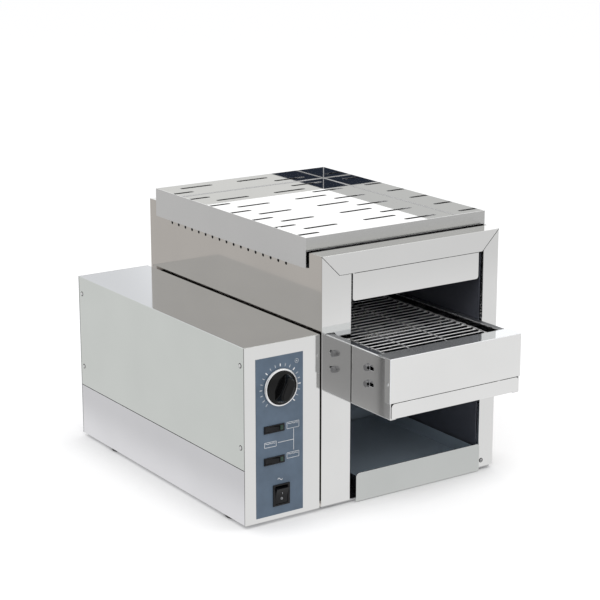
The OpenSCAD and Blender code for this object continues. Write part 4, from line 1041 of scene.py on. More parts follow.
@dataclass
class Tunnel:
    """Walls, reflectors and heating tubes, and the way that the toast takes down."""

    wall_x: Pair = (43.0, 268.0)
    cap_len: float = 12.0
    cap_bottom: float = 4.0
    cap_r: float = 7.0
    cap_chamfer: float = 1.4
    cap_groove: float = 0.7
    tube_r: float = 5.0
    tube_pinch: float = 1.2
    coil_r: float = 3.1
    coil_wire: float = 0.55
    coil_pitch: float = 5.2
    coil_margin: float = 14.0
    coil_steps: int = 10
    upper: tuple[float, ...] = (55.0, 135.0, 215.0, 295.0)
    upper_z: float = 285.0
    lower: tuple[float, ...] = (80.0, 180.0, 280.0)
    lower_z: float = 192.8
    drawer_floor: Pair = (-4.0, 20.0)
    drawer_wall: Pair = (255.0, 268.0)

    def walls(self) -> None:
        """Walls, reflectors, deflector, ramp and the runners; painted shade darkens the walls, the lower
        reflector and the deflector, and a painted reflection tints the ramp.
        """
        for node, finish in (("tunnel_wall_left", Finish.WALL), ("tunnel_wall_right", Finish.WALL),
                             ("lower_reflector", Finish.HEATED), ("rear_deflector", Finish.HEATED),
                             ("upper_reflector", Finish.REFLECTOR), ("toast_ramp", Finish.RAMP)):
            folded(node, finish, rim=0.15)
        keep(Finish.PLAIN, "tray_runners")

    def tubes(self, name: str, places: tuple[float, ...], z: float) -> None:
        """Quartz tubes with a heating coil in each.

        A tube is a turned profile whose ends close in a pinch; a coil is a small round section
        carried along a helix of coil_r about the tube's axis.

        Args:
            name: the frame's node of the row.
            places: the tubes' places from front to back.
            z: their height.
        """
        x0 = self.wall_x[0] - self.cap_len + self.cap_bottom
        x1 = self.wall_x[1] + self.cap_len - self.cap_bottom
        r = self.tube_r
        end_r = r * 0.7
        length = x1 - x0
        profile = [(0, 0), (end_r, 0), (r, self.tube_pinch), (r, length - self.tube_pinch),
                   (end_r, length), (0, length)]
        glass = joined(lathe(profile, (x0, y, z), Axis.X, 24) for y in places)
        build(name + "_glass", glass, Finish.QUARTZ, nodes=(name,))
        turns = int((length - 2 * self.coil_margin) / self.coil_pitch)
        along = np.linspace(x0 + self.coil_margin, x1 - self.coil_margin, turns * self.coil_steps)
        turn = along / self.coil_pitch * 2 * pi
        path = np.empty((len(places), len(along), 3))
        path[..., 0] = along
        path[..., 1] = np.array(places)[:, None] + self.coil_r * np.cos(turn)
        path[..., 2] = z + self.coil_r * np.sin(turn)
        build(name + "_coils", carry(path, ring_section(self.coil_wire, 5), Axis.X.value), Finish.COIL)

    def caps(self) -> None:
        """Ceramic caps: each turned with a groove and a chamfered end."""
        r = self.cap_r
        n = self.cap_len
        chamfer = self.cap_chamfer
        waist = r - self.cap_groove
        bore = self.tube_r + 0.1
        profile = [(0, n), (r - chamfer, n), (r, n - chamfer), (r, n * 0.62), (waist, n * 0.58),
                   (waist, n * 0.48), (r, n * 0.44), (r, 0.4), (r - 0.4, 0), (bore, 0), (bore, 1.0)]
        rows = [(y, self.upper_z) for y in self.upper] + [(y, self.lower_z) for y in self.lower]
        surface = joined(lathe(profile, (x, y, z), Axis.X, 24, sign)
                         for y, z in rows for x, sign in zip(self.wall_x, (-1.0, 1.0)))
        build("tube_caps", surface, Finish.CERAMIC, nodes=("heater_caps",))

    def drawer(self) -> None:
        """The toast tray: a mirror front, and a floor and a wall in the ramp's painted slate-blue
        reflection.
        """
        drawer = folded("toast_tray", Finish.DRAWER, "toast_drawer", rim=0.25)
        # painted reflection: the floor and the inner wall get the ramp's slate-blue tone
        redress(drawer, Finish.RAMP, Axis.Z, 1.0, self.drawer_floor)
        redress(drawer, Finish.RAMP, Axis.X, -1.0, self.drawer_wall)

    def make(self) -> None:
        """Builds and dresses the whole sub-assembly."""
        self.walls()
        self.tubes("upper_heaters", self.upper, self.upper_z)
        self.tubes("lower_heaters", self.lower, self.lower_z)
        self.caps()
        self.drawer()


@dataclass
class Belt:
    """The wire belt: rods with curled ends, and links that hold them apart."""

    x0: float = 66.5
    x1: float = 244.5
    front_y: float = -37.0
    centres: float = 400.0
    axis_z: float = 194.5
    radius: float = 15.5
    rods: int = 75
    wire_r: float = 0.68
    curl_r: float = 2.3
    link_r: float = 0.6
    link_shift: float = 0.6
    strand_x: tuple[float, ...] = (68.5, 111.5, 174.5, 242.5)

    @property
    def loop(self) -> float:
        """Length once round the belt."""
        return 2 * self.centres + 2 * pi * self.radius

    @property
    def step(self) -> float:
        """Distance from rod to rod along the belt."""
        return self.loop / self.rods

    @property
    def places(self) -> Points:
        """Where the rods start along the belt."""
        return (np.arange(self.rods) + 0.5) * self.step

    def lay(self, local: Points) -> Points:
        """Bends flat belt points round the two rollers.

        A point (x, s, n) lies s along the loop and n outside its middle line. On the straight
        runs it is moved along Y; round a roller it turns about the roller's axis at radius
        radius + n, by the angle s / radius.

        Args:
            local: array (..., 3) of (x, s, n).

        Returns:
            The points in the maker's frame.
        """
        x, s, n = np.moveaxis(local, -1, 0)
        half = pi * self.radius
        s = np.mod(s, self.loop)
        rear = self.front_y + self.centres
        r = self.radius + n
        a = (s - self.centres) / self.radius
        b = (s - 2 * self.centres - half) / self.radius
        where = [s < self.centres, s < self.centres + half, s < 2 * self.centres + half]
        y = np.select(where, [self.front_y + s, rear + r * np.sin(a), rear - (s - self.centres - half)],
                      self.front_y - r * np.sin(b))
        z = np.select(where, [self.axis_z + r, self.axis_z + r * np.cos(a), self.axis_z - r],
                      self.axis_z - r * np.cos(b))
        return np.stack([x, y, z], axis=-1)

    def rod_surface(self) -> Surface:
        """Rods across the belt, each end curled back over the rod in front.

        The rod's path is straight between the side loops; each end follows three quarters of a
        circle towards the next rod in the belt's plane.

        Returns:
            All the rods.
        """
        turn = np.linspace(0, 1.5 * pi, 7)
        r = self.curl_r
        right = np.stack([self.x1 - r - self.wire_r + r * np.sin(turn), r - r * np.cos(turn), 0 * turn], -1)
        left = right[::-1] * [-1, 1, 1] + [self.x0 + self.x1, 0, 0]
        local = np.repeat(np.concatenate([left, right])[None], self.rods, axis=0)
        local[..., 1] += self.places[:, None]
        upwards = (0.02, 0.3, 0.95)
        return carry(self.lay(local), ring_section(self.wire_r, 8), upwards)

    def link_surface(self) -> Surface:
        """Links from rod to rod: each hooks under one rod and over the next.

        A link's path in (s, n) is an arc round the first rod, a straight stretch and an arc
        round the second; neighbours are set off sideways so that their hooks lie side by side.

        Returns:
            All the links.
        """
        hook = self.wire_r + self.link_r
        turn = np.linspace(1.25 * pi, 0.5 * pi, 4)
        first = np.stack([hook * np.cos(turn), hook * np.sin(turn)], -1)
        second = np.stack([self.step - hook * np.cos(turn[::-1]), hook * np.sin(turn[::-1])], -1)
        flat = np.concatenate([first, second])
        lines = np.array(self.strand_x)
        local = np.empty((len(lines), self.rods, len(flat), 3))
        shift = np.where(np.arange(self.rods) % 2, self.link_shift, -self.link_shift)
        local[..., 0] = lines[:, None, None] + shift[None, :, None]
        local[..., 1] = self.places[None, :, None] + flat[:, 0]
        local[..., 2] = flat[:, 1]
        return carry(self.lay(local), ring_section(self.link_r, 5), Axis.X.value)

    def make(self) -> None:
        """Builds the belt, with its lower run painted near-black as shade, and dresses what carries it, the
        parts under the belt in the same painted shade.
        """
        # painted highlight: rods and links in white finishes brighter than bare steel
        for name, surface, finish, node, angle in (
                ("belt_rod_wires", self.rod_surface(), Finish.WIRE, "belt_rods", 60.0),
                ("belt_links", self.link_surface(), Finish.LINK, "belt_strands", 80.0)):
            piece = build(name, surface, finish, nodes=(node,), smooth_angle=angle)
            # painted shade: the lower run near-black
            redress(piece, Finish.BAR, Axis.Z, 0.0, (0.0, self.axis_z))
        # painted shade: rails, idler and ties near-black
        keep(Finish.BAR, "belt_rails", "idler_axle", "idler_wheels", "tie_rods")
        keep(Finish.TURNED, "drive_shaft", "drive_wheels", "shaft_coupling")
        keep(Finish.BRONZE, "shaft_bushes")


@dataclass
class Carriage:
    """The conveyor's side plates, cover, crumb tray and fasteners."""

    side_x: Pair = (47.6, 263.4)
    bolt_y: float = -37.0
    bolt_z: Pair = (194.5, 172.5)
    tie_y: tuple[float, ...] = (30.0, 130.0, 230.0, 330.0)
    tie_z: float = 196.8
    tie_head: Pair = (4.0, 2.2)
    washer_hole: float = 2.6
    washer_r: float = 5.0
    washer_t: float = 1.0
    hex_r: float = 4.6
    hex_h: float = 3.8
    hex_turn: float = 0.35
    rivet_y: float = -81.2
    rivet_z: float = 182.6
    rivet_out: float = 1.2
    landing_z: Pair = (212.0, 218.0)
    crumb_floor_z: Pair = (100.0, 150.0)

    def bolt(self, x: float, z: float, sign: float) -> Surface:
        """A washer with a bevelled rim under a hexagonal head.

        Args:
            x: the face that it sits on.
            z: its height.
            sign: -1 at the left, 1 at the right.

        Returns:
            The surface.
        """
        w = self.washer_t
        r = self.washer_r
        hole = self.washer_hole
        disc = lathe([(hole, 0), (r - 0.2, 0), (r, 0.2), (r, w - 0.3), (r - 0.3, w), (hole, w)],
                     (x, self.bolt_y, z), Axis.X, 32, sign)
        turn = np.arange(6) * pi / 3 + self.hex_turn
        hexagon = np.stack([self.bolt_y + self.hex_r * np.cos(turn), z + self.hex_r * np.sin(turn)], -1)
        start = x + sign * w
        ends = sorted((start, start + sign * self.hex_h))
        return disc + prism(hexagon, Axis.X, *ends)

    def bolts(self) -> None:
        """The front bolts, and low button heads on the hidden ties."""
        parts = []
        for x, sign in zip(self.side_x, (-1.0, 1.0)):
            parts += [self.bolt(x, z, sign) for z in self.bolt_z]
            parts += [screw_head(*self.tie_head, (x, y, self.tie_z), Axis.X, sign) for y in self.tie_y]
        build("carriage_bolt_heads", joined(parts), Finish.NUT, nodes=("carriage_bolts",), round_to=0.35)

    def rivets(self) -> None:
        """Domed rivets in the cover's returns."""
        profile = [(0, 0), (2.2, 0), (2.1, 0.45), (1.5, 0.85), (0.8, 0.98), (0, 1.0)]
        parts = []
        for x, sign in zip(self.side_x, (-1.0, 1.0)):
            base = (x + sign * self.rivet_out, self.rivet_y, self.rivet_z)
            parts.append(lathe(profile, base, Axis.X, 24, sign))
        build("cover_rivet_heads", joined(parts), Finish.DOME, nodes=("cover_rivets",))

    def sheets(self) -> None:
        """Side plates, cover and crumb tray, with painted highlights on the bends, painted shade on the
        tops and a painted reflection on the landing.
        """
        for node in ("carriage_side_left", "carriage_side_right"):
            # painted highlight: the plates' roundings get a near-white copy of the steel
            plate = folded(node, Finish.PLATE, fold=1.2, bend=Finish.EDGE)
            # painted shade: the plates' top flanges get a dark copy of the steel
            redress(plate, Finish.SOOT, Axis.Z, 1.0, self.landing_z)
        # painted highlight on the cover's roundings; painted reflection: its landing gets a bluer, partly
        # non-metal copy
        cover = folded("carriage_cover", Finish.FRONT, bend=Finish.EDGE)
        redress(cover, Finish.LANDING, Axis.Z, 1.0, self.landing_z)
        crumb = folded("crumb_tray", Finish.FRONT, "crumb_drawer")
        # painted shade: the crumb tray's floor gets the dark copy of the steel
        redress(crumb, Finish.SOOT, Axis.Z, 1.0, self.crumb_floor_z)

    def make(self) -> None:
        """Builds and dresses the whole sub-assembly."""
        self.sheets()
        self.bolts()
        self.rivets()


@dataclass
class ControlPanel:
    """The label, its printed marks, the dial and the switches."""

    label_y: float = -2.8
    dial: Pair = (-66.0, 179.0)
    ring_r: float = 25.5
    ring_h: float = 3.2
    disc_r: float = 22.5
    grip_levels: tuple[Place, ...] = (
        (0.0, 0.0, 0.4), (7.9, 19.0, 0.4), (7.9, 18.4, 2.0), (7.6, 16.4, 8.0), (7.3, 15.2, 11.8),
        (6.9, 14.5, 13.2), (6.1, 13.6, 13.85), (5.0, 12.4, 14.0), (2.5, 6.0, 13.8), (0.0, 0.0, 13.7))
    plan_power: float = 2.6
    skirt_h: float = 6.0
    knob_gap: float = 0.6
    knob_tilt: float = 25.0
    stem: Pair = (3.0, 12.9)
    tick_in: float = 27.6
    tick_out: float = 31.4
    tick_step: float = 15.0
    tick_end: float = 135.0
    tick_halves: Place = (0.28, 0.42, 0.75)
    print_t: float = 0.05
    frames_at: tuple[tuple[Pair, Pair], ...] = (
        ((-56.2, -37.1), (120.5, 129.5)), ((-90.7, -72.2), (100.5, 107.8)), ((-56.2, -37.1), (80.1, 88.2)))
    frame_stroke: float = 0.5
    script_in: float = 1.6
    script_down: float = 2.3
    script_wave: Place = (0.45, 3.0, 0.28)
    joins_at: tuple[tuple[Pair, Pair], ...] = (
        ((-45.9, -45.3), (90.5, 119.4)), ((-69.9, -45.9), (104.5, 105.1)))
    target_at: Pair = (-40.8, 210.0)
    target_rings: tuple[Pair, ...] = ((2.9, 2.55), (0.7, 0.05))
    swing_x: Pair = (-70.45, -62.95)
    swing_z: float = 54.4
    swing_wave: Place = (1.4, 1.0, 0.42)
    rocker_x: float = -79.4
    rocker_z: Pair = (124.9, 81.9)
    rocker_front: float = -7.0
    rocker_dish: float = 1.6
    rocker_back: float = 4.0
    pin_r: float = 1.2
    pin_out: float = 0.7
    rocker_half: Pair = (9.8, 3.1)
    main_at: Pair = (-65.1, 33.0)
    main_half: Pair = (10.8, 9.2)
    main_bar: Pair = (0.6, 2.6)
    main_bar_up: float = 3.4
    main_bar_y: Pair = (-5.3, -4.6)
    main_ring: Pair = (1.6, 1.0)
    main_ring_down: float = 4.2
    main_ring_y: Pair = (-5.4, -4.6)
    pivot_y: float = 1.0
    rocker_tilt: float = 10.0
    lens_x: float = -64.7
    lens_half: Pair = (2.15, 2.95)
    lens_out: float = 1.5
    lens_in: float = 2.4
    lens_crown: float = 0.4

    def printed(self, outline: Points) -> Surface:
        """An outline as a thin print on the label."""
        return prism(outline, Axis.Y, self.label_y - self.print_t, self.label_y)

    def printed_line(self, outer: Points, inner: Points) -> Surface:
        """The band between two outlines as a thin print on the label."""
        return frame_strip(outer, inner, Axis.Y, self.label_y - self.print_t, self.label_y)

    def wave(self, across: Pair, z: float, height: float, turns: float, half: float) -> Surface:
        """A printed wavy line: z + height sin(2 pi turns u) over u from 0 to 1.

        Args:
            across: where it starts and ends.
            z: its middle.
            height: half its height.
            turns: number of waves.
            half: half its stroke.

        Returns:
            The line's surface.
        """
        u = np.linspace(0, 1, int(20 * turns) + 1)
        line = np.stack([across[0] + (across[1] - across[0]) * u, 0 * u + self.label_y - self.print_t / 2,
                         z + height * np.sin(2 * pi * turns * u)], -1)
        t = 0.4 * self.print_t
        return carry(line, np.array([[half, t], [-half, t], [-half, -t], [half, -t]]), Axis.Z.value)

    def ticks(self) -> list[Surface]:
        """The dial's strokes: thin ones, a medium one at the left and thick ones at the settings.

        Angles run clockwise from the top. A stroke's corner (across, out) lies at the dial's
        middle plus across times the stroke's right-hand direction (cos a, -sin a) plus out times
        its outward one (sin a, cos a).

        Returns:
            One surface for each stroke.
        """
        cx, cz = self.dial
        thin, medium, thick = self.tick_halves
        parts = []
        for angle in np.arange(-self.tick_end, self.tick_end + 1, self.tick_step):
            half = thin if angle % 45 or angle < -90 else thick if angle > -90 else medium
            tick = np.array([[-half, self.tick_in], [half, self.tick_in], [half, self.tick_out],
                             [-half, self.tick_out]])
            a = radians(float(angle))
            x = cx + tick[:, 0] * cos(a) + tick[:, 1] * sin(a)
            z = cz - tick[:, 0] * sin(a) + tick[:, 1] * cos(a)
            parts.append(self.printed(np.stack([x, z], -1)))
        return parts

    def marks(self) -> None:
        """White marks printed on the label: ticks, outlines, joining lines, a target and a wave."""
        parts = self.ticks()
        for (x0, x1), (z0, z1) in self.frames_at:
            mid = ((x0 + x1) / 2, (z0 + z1) / 2)
            stroke = 2 * self.frame_stroke
            outer = round_rect(*mid, x1 - x0, z1 - z0, 0.8)
            inner = round_rect(*mid, x1 - x0 - stroke, z1 - z0 - stroke, 0.3)
            parts.append(self.printed_line(outer, inner))
            across = (x0 + self.script_in, x1 - self.script_in)
            parts.append(self.wave(across, z1 - self.script_down, *self.script_wave))
        for (x0, x1), (z0, z1) in self.joins_at:
            parts.append(self.printed(round_rect((x0 + x1) / 2, (z0 + z1) / 2, x1 - x0, z1 - z0, 0.05, 2)))
        for outer_r, inner_r in self.target_rings:
            parts.append(self.printed_line(ring_section(outer_r, 28) + self.target_at,
                                           ring_section(inner_r, 28) + self.target_at))
        parts.append(self.wave(self.swing_x, self.swing_z, *self.swing_wave))
        build("panel_marks", joined(parts), Finish.PRINT)

    def knob(self) -> None:
        """The knob: a turned disc with an oval grip across it, and a stem behind.

        The disc's face is a shallow cone. The grip is a stack of superellipses, x = a c(t) and
        z = b s(t), where c and s are the cosine and the sine to the power 2 / plan_power with
        their signs kept; each row of grip_levels gives a, b and the height over the disc.
        """
        cx, cz = self.dial
        face = self.label_y - self.knob_gap
        r = self.disc_r
        s = self.skirt_h
        profile = [(0, 0), (r - 0.3, 0), (r, 0.5), (r - 0.2, s - 2.6), (r - 0.8, s - 1.9),
                   (r - 1.6, s - 1.7), (r * 0.45, s + 1.1), (0, s + 1.2)]
        disc = lathe(profile, (cx, face, cz), Axis.Y, 64, -1.0)
        turn = np.linspace(0, 2 * pi, 48, endpoint=False)
        power = 2 / self.plan_power
        plan_c = np.sign(np.cos(turn)) * np.abs(np.cos(turn)) ** power
        plan_s = np.sign(np.sin(turn)) * np.abs(np.sin(turn)) ** power
        a, b, h = np.array(self.grip_levels).T[:, :, None]
        points = np.stack([cx + a * plan_c, face - s - h + 0 * plan_c, cz + b * plan_s], -1)
        grip = grid(points, wrap_v=True).turned(Axis.Y, self.knob_tilt, (cx, face, cz))
        stem_r, stem = self.stem
        shaft = lathe([(0, 0), (stem_r, 0), (stem_r, stem), (0, stem)], (cx, face - 0.01, cz), Axis.Y, 24)
        build("dial_knob", disc + grip + shaft, Finish.KNOB, "knob", ("speed_knob",))

    def ring(self) -> None:
        """The bright ring round the knob: a turned band with a sloping face."""
        cx, cz = self.dial
        inner = self.disc_r + 0.02
        outer = self.ring_r
        h = self.ring_h
        band = [(inner, 0), (outer - 0.2, 0), (outer, 0.3), (outer - 0.1, 1.4), (outer - 0.9, h - 0.5),
                (outer - 1.6, h), (inner + 0.3, h), (inner, h - 0.3), (inner, 0)]
        surface = lathe(band, (cx, self.label_y - self.knob_gap, cz), Axis.Y, 96, -1.0)
        build("dial_ring", surface, Finish.RING, "knob", ("knob_ring",))

    def rocker(self, name: str, halves: Pair, at: Pair, upright: bool) -> None:
        """A rocker with a dished front face, tipped to its off side.

        The section's front is rocker_front + rocker_dish (1 - |p / half|^1.7) over p from -half
        to half; it is extruded over the rocker's width and turned about its pin.

        Args:
            name: which rocker it is, as its node's and its body's names say.
            halves: half its length and half its width.
            at: the pivot across and up.
            upright: the main switch's rocker, which is longer up than across.
        """
        half, half_w = halves
        p = np.linspace(-half, half, 15)
        front = self.rocker_front + self.rocker_dish * (1 - np.abs(p / half) ** 1.7)
        back = self.rocker_back
        outline = np.concatenate([np.stack([p, front], -1), [[half, back], [-half, back]]])
        x, z = at
        pivot = (x, self.pivot_y, z)
        if upright:
            flat = np.stack([outline[:, 1] + self.pivot_y, outline[:, 0] + z], -1)
            axis, middle, tilt = Axis.X, x, self.rocker_tilt
        else:
            flat = np.stack([outline[:, 0] + x, outline[:, 1] + self.pivot_y], -1)
            axis, middle, tilt = Axis.Z, z, -self.rocker_tilt
        solid = prism(flat, axis, middle - half_w, middle + half_w).turned(axis, tilt, pivot)
        reach = half_w + self.pin_out
        profile = [(0, 0), (self.pin_r, 0), (self.pin_r, 2 * reach), (0, 2 * reach)]
        pin = lathe(profile, tuple(np.array(pivot) - reach * np.array(axis.value)), axis, 16)
        build(name + "_rocker_cap", solid + pin, Finish.SWITCH, name + "_switch", (name + "_rocker",),
              round_to=0.35)

    def rocker_marks(self) -> None:
        """The line and the ring on the main rocker, laid on its two tilted faces."""
        x, z = self.main_at
        bar = prism(round_rect(x, z + self.main_bar_up, *self.main_bar, 0.2, 3), Axis.Y, *self.main_bar_y)
        outer, inner = (ring_section(r, 28) + (x, z - self.main_ring_down) for r in self.main_ring)
        loop = frame_strip(outer, inner, Axis.Y, *self.main_ring_y)
        marks = (bar + loop).turned(Axis.X, self.rocker_tilt, (x, self.pivot_y, z))
        build("main_rocker_marks", marks, Finish.MARK, "main_switch")

    def lenses(self) -> None:
        """Green lenses with a crowned front.

        The front stands out of its rim by lens_crown (1 - a^4) (1 - b^4), where a and b run from
        -1 to 1 across and up.
        """
        half_w, half_h = self.lens_half
        front = self.label_y - self.lens_out
        a = np.linspace(-1, 1, 13)
        parts = []
        for z in self.rocker_z:
            points = np.empty((13, 13, 3))
            points[..., 0] = self.lens_x + half_w * a[:, None]
            points[..., 1] = front - self.lens_crown * (1 - a[:, None] ** 4) * (1 - a[None, :] ** 4)
            points[..., 2] = z + half_h * a[None, :]
            parts.append(grid(points))
            outline = round_rect(self.lens_x, z, 2 * half_w, 2 * half_h, 0.3, 3)
            parts.append(prism(outline, Axis.Y, front, self.label_y + self.lens_in))
        build("indicator_lenses", joined(parts), Finish.LENS, nodes=("switch_lenses",))

    def make(self) -> None:
        """Builds and dresses the whole sub-assembly."""
        keep(Finish.LABEL, "control_label")
        keep(Finish.DARK, "speed_potentiometer")
        self.marks()
        self.knob()
        self.ring()
        folded("switch_frames", Finish.SWITCH, fold=0.4, rim=0.2, thin=0.9)
        folded("main_switch_frame", Finish.SWITCH, fold=0.5, rim=0.2, thin=0.9)
        for name, z in zip(("upper", "lower"), self.rocker_z):
            self.rocker(name, self.rocker_half, (self.rocker_x, z), False)
        self.rocker("main", self.main_half, self.main_at, True)
        self.rocker_marks()
        self.lenses()


@dataclass
class ControlBox:
    """The box's sheets, its screws, the gland and the works inside."""

    screw_x: float = -120.0
    screw_y: Pair = (7.5, 435.4)
    screw_z: Pair = (104.5, 214.0)
    side_head: Pair = (2.5, 1.4)
    screw_washer: Place = (2.4, 3.4, 0.15)
    shank_r: float = 1.5
    shank_len: float = 3.4
    shank_tip: float = 0.2
    floor_x: Pair = (-114.0, -10.4)
    floor_y: Pair = (12.5, 418.5)
    floor_z: float = 0.2
    floor_head: Pair = (2.2, 1.8)
    # painted shadow lines along the side's seam and its front and back corners
    seam_z: Pair = (74.55, 75.35)
    seam_y: Pair = (-1.0, 443.9)
    seam_x: Pair = (-120.04, -119.5)
    corner_y: tuple[Pair, ...] = ((-1.3, -0.55), (443.4, 444.15))
    corner_z: Pair = (0.4, 238.3)
    top_z: Pair = (238.0, 239.5)

    def shell(self) -> None:
        """The folded sheets of the box and the spacer beside the housing, with a painted cooler tone on the
        cover's top and near-black painted shadow strips along the seam and the corners.
        """
        folded("box_base", Finish.SATIN, cut=Finish.CUT)
        cover = folded("box_cover", Finish.COVER, cut=Finish.CUT)
        folded("box_front", Finish.MIRROR, cut=Finish.CUT)
        folded("box_back", Finish.SATIN, cut=Finish.CUT)
        keep(Finish.SPACER, "box_spacer")
        # painted reflection: the cover's top faces get a cooler tone than its sides
        redress(cover, Finish.TOP, Axis.Z, 1.0, self.top_z)
        # painted shadow: near-black strips along the seam and the corners
        seam_shadows = [block(self.seam_x, self.seam_y, self.seam_z)]
        seam_shadows += [block(self.seam_x, y, self.corner_z) for y in self.corner_y]
        build("box_seams", joined(seam_shadows), Finish.SHADOW)

    def screw(self, size: Pair, at: Place, axis: Axis) -> Surface:
        """A domed screw that points against the axis, with its shank.

        Args:
            size: the head's radius and height.
            at: middle of the face that it sits on.
            axis: the direction of its shank.

        Returns:
            The surface.
        """
        r = self.shank_r
        h = self.shank_len
        shank = lathe([(0, 0), (r, 0), (r, h), (0, h + self.shank_tip)], at, axis, 12)
        return screw_head(*size, at, axis, -1.0) + shank

    def screws(self) -> None:
        """Domed screws in the left side, each ringed near-black as painted shade, and under the floor."""
        sides = [(self.screw_x, y, z) for y in self.screw_y for z in self.screw_z]
        floor = [(x, y, self.floor_z) for x in self.floor_x for y in self.floor_y]
        parts = [self.screw(self.side_head, at, Axis.X) for at in sides]
        parts += [self.screw(self.floor_head, at, Axis.Z) for at in floor]
        build("box_side_screws", joined(parts), Finish.DOME, nodes=("box_screws",))
        # painted shade: near-black rings round the side screws' heads
        rings = joined(washer(*self.screw_washer, at, Axis.X) for at in sides)
        build("box_screw_washers", rings, Finish.SHADOW)

    def works(self) -> None:
        """What the box holds."""
        keep(Finish.MOTOR, "gear_motor")
        keep(Finish.PLAIN, "motor_bracket")
        keep(Finish.BOARD, "control_board")
        keep(Finish.NYLON, "terminal_block")
        keep(Finish.DARK, "fan_frame", "fan_rotor", "cable_gland")

    def make(self) -> None:
        """Builds and dresses the whole sub-assembly."""
        self.shell()
        self.screws()
        self.works()


# ---- studio ----


@dataclass(frozen=True)
class Lobe:
    """A soft patch of the surroundings: its direction, its half widths and its colour."""

    azimuth: float
    elevation: float
    inner: float
    outer: float
    colour: Colour

    def direction(self) -> Place:
        """Unit vector of the patch's middle; azimuth 0 is +Y and 90 is +X."""
        a, e = radians(self.azimuth), radians(self.elevation)
        return (sin(a) * cos(e), cos(a) * cos(e), sin(e))


@dataclass(frozen=True)
class Lamp:
    """A square lamp: its place in metres, its turn in degrees, its side and its power."""

    name: str
    at: Place
    turn: Place
    size: float
    power: float


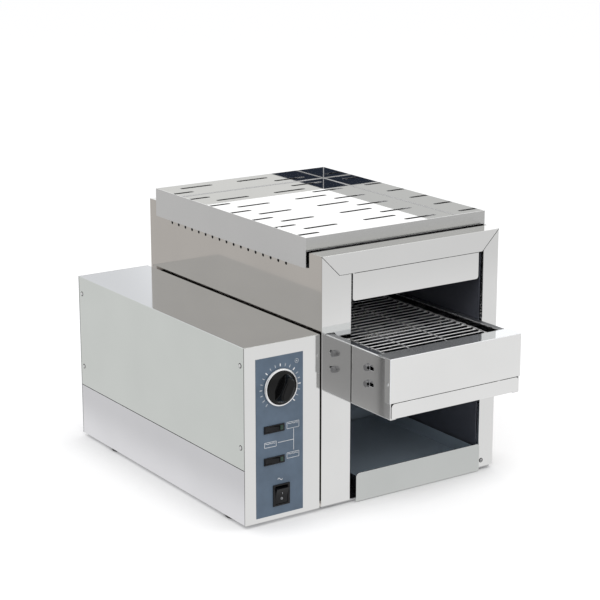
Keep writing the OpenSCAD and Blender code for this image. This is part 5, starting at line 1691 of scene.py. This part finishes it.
@dataclass
class Studio:
    """Camera, floor, surroundings and lamps; its places are in metres in the row frame."""

    camera_at: Place = (-1.3640, -2.0178, 0.8875)
    camera_pitch: float = 15.024
    camera_yaw: float = 34.163
    lens: float = 108.17
    sensor: float = 36.0
    reach: float = 60.0
    surroundings: Colour = (0.79, 0.79, 0.79)
    even_light: Colour = (0.75, 0.75, 0.76)
    white: Colour = (1.0, 1.0, 1.0)
    floor_half: float = 14.0
    floor_colour: Colour = (0.72, 0.72, 0.72)
    floor_glow: float = 0.45
    gap_reach: float = 0.06
    right_y: Pair = (-0.85, -1.25)
    right_tones: Pair = (0.91, 0.79)
    left_y: Pair = (-0.30, -0.22)
    left_tones: Pair = (0.42, 0.74)
    share_x: Pair = (-0.30, -0.22)
    lobes: tuple[Lobe, ...] = (
        Lobe(42.0, 8.0, 10.5, 15.0, (1.35, 1.35, 1.35)),
        Lobe(-34.0, 13.0, 22.0, 45.0, (0.79, 0.795, 0.785)),
        Lobe(146.0, 12.0, 25.0, 50.0, (1.0, 1.0, 0.98)),
        Lobe(-146.0, 16.0, 13.0, 23.0, (0.035, 0.045, 0.07)),
        Lobe(143.0, 32.0, 4.0, 8.0, (3.0, 3.0, 3.0)),
        Lobe(-18.0, 35.0, 4.0, 9.0, (1.5, 1.5, 1.5)),
    )
    lights: tuple[Lamp, ...] = (
        Lamp("key", (-1.6, -1.4, 2.6), (40, 0, -48), 1.8, 22.0),
        Lamp("fill", (1.8, -1.0, 2.2), (42, 0, 60), 1.6, 10.0),
    )

    def camera(self) -> None:
        """The camera, a little over the box's left corner."""
        data = bpy.data.cameras.new("camera")
        data.lens = self.lens
        data.sensor_width = self.sensor
        data.clip_end = self.reach
        camera = bpy.data.objects.new("camera", data)
        camera.location = self.camera_at
        camera.rotation_euler = (radians(90 - self.camera_pitch), 0, radians(-self.camera_yaw))
        bpy.context.scene.collection.objects.link(camera)
        bpy.context.scene.camera = camera

    def world(self) -> None:
        """White to the camera, an even grey for light, and soft patches for reflections.

        A patch's factor rises smoothly from 0 to 1 as the dot product of the ray's direction and
        the patch's goes from the outer to the inner half width's cosine.
        """
        world = bpy.data.worlds.new("studio")
        nodes = Tree(world)
        ray = nodes.add("TexCoord").outputs["Generated"]
        path = nodes.add("LightPath").outputs
        colour = self.surroundings
        for lobe in self.lobes:
            dot = nodes.add("VectorMath", ray, lobe.direction())
            dot.operation = "DOT_PRODUCT"
            edge = (cos(radians(lobe.outer)), cos(radians(lobe.inner)))
            factor = nodes.ramp(dot.outputs["Value"], UNIT, edge, soft=True)
            colour = nodes.mixed(factor, colour, lobe.colour)
        colour = nodes.mixed(path["Is Glossy Ray"], self.even_light, colour)
        colour = nodes.mixed(path["Is Camera Ray"], colour, self.white)
        back = nodes.add("Background", Color=colour)
        nodes.add("OutputWorld", Surface=back.outputs[0])
        bpy.context.scene.world = world

    def floor(self) -> None:
        """A wide pale floor, which isn't part of the object."""
        h = self.floor_half
        mesh = bpy.data.meshes.new("floor")
        mesh.from_pydata([(-h, -h, 0), (h, -h, 0), (h, h, 0), (-h, h, 0)], [], [(0, 1, 2, 3)])
        floor = bpy.data.objects.new("floor", mesh)
        bpy.context.scene.collection.objects.link(floor)
        floor.data.materials.append(self.floor_material())

    def floor_material(self) -> bpy.types.Material:
        """Builds the floor's material.

        For the camera it is a matt white plus a glow that fades in narrow gaps. Reflections see
        a tone that depends on the place: at the right it falls from near to far along -Y, at the
        left it goes from the front tone to the back tone, and share passes from left to right.

        Returns:
            The material.
        """
        nodes = Tree(bpy.data.materials.new("floor_white"))
        place = nodes.add("SeparateXYZ", nodes.add("TexCoord").outputs["Object"]).outputs
        right = nodes.ramp(place["Y"], self.right_tones, self.right_y, soft=True)
        left = nodes.ramp(place["Y"], self.left_tones, self.left_y, soft=True)
        share = nodes.ramp(place["X"], UNIT, self.share_x, soft=True)
        tone = nodes.maths("MULTIPLY_ADD", share, nodes.maths("SUBTRACT", right, left), left)
        near = nodes.add("AmbientOcclusion", Distance=self.gap_reach)
        path = nodes.add("LightPath").outputs
        seen = nodes.maths("MULTIPLY", path["Is Camera Ray"], near.outputs["AO"])
        matt = nodes.add("BsdfDiffuse", Color=self.floor_colour)
        glow = nodes.add("Emission", Strength=nodes.maths("MULTIPLY", seen, self.floor_glow))
        plain = nodes.add("AddShader", matt.outputs[0], glow.outputs[0])
        mirrored = nodes.add("Emission", Strength=tone)
        bounced = nodes.maths("MAXIMUM", path["Is Glossy Ray"], path["Is Transmission Ray"])
        both = nodes.add("MixShader", bounced, plain.outputs[0], mirrored.outputs[0])
        nodes.add("OutputMaterial", Surface=both.outputs[0])
        return nodes.owner

    def lamps(self) -> None:
        """Two wide soft lamps, out of the reflections."""
        for light in self.lights:
            data = bpy.data.lights.new(light.name, "AREA")
            data.size = light.size
            data.energy = light.power
            lamp = bpy.data.objects.new(light.name, data)
            lamp.location = light.at
            lamp.rotation_euler = tuple(radians(a) for a in light.turn)
            lamp.visible_glossy = False
            bpy.context.scene.collection.objects.link(lamp)

    def make(self) -> None:
        """Sets the studio up."""
        self.camera()
        self.world()
        self.floor()
        self.lamps()
        bpy.context.scene.view_settings.view_transform = "Standard"


def main() -> None:
    """Builds the studio and every sub-assembly in order."""
    logging.basicConfig(level=logging.INFO, format="%(name)s: %(message)s")
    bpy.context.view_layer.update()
    for part in (Studio(), Housing(), Tunnel(), Belt(), Carriage(), ControlPanel(), ControlBox()):
        log.info("making %s", type(part).__name__)
        part.make()


if __name__ == "__main__":
    main()
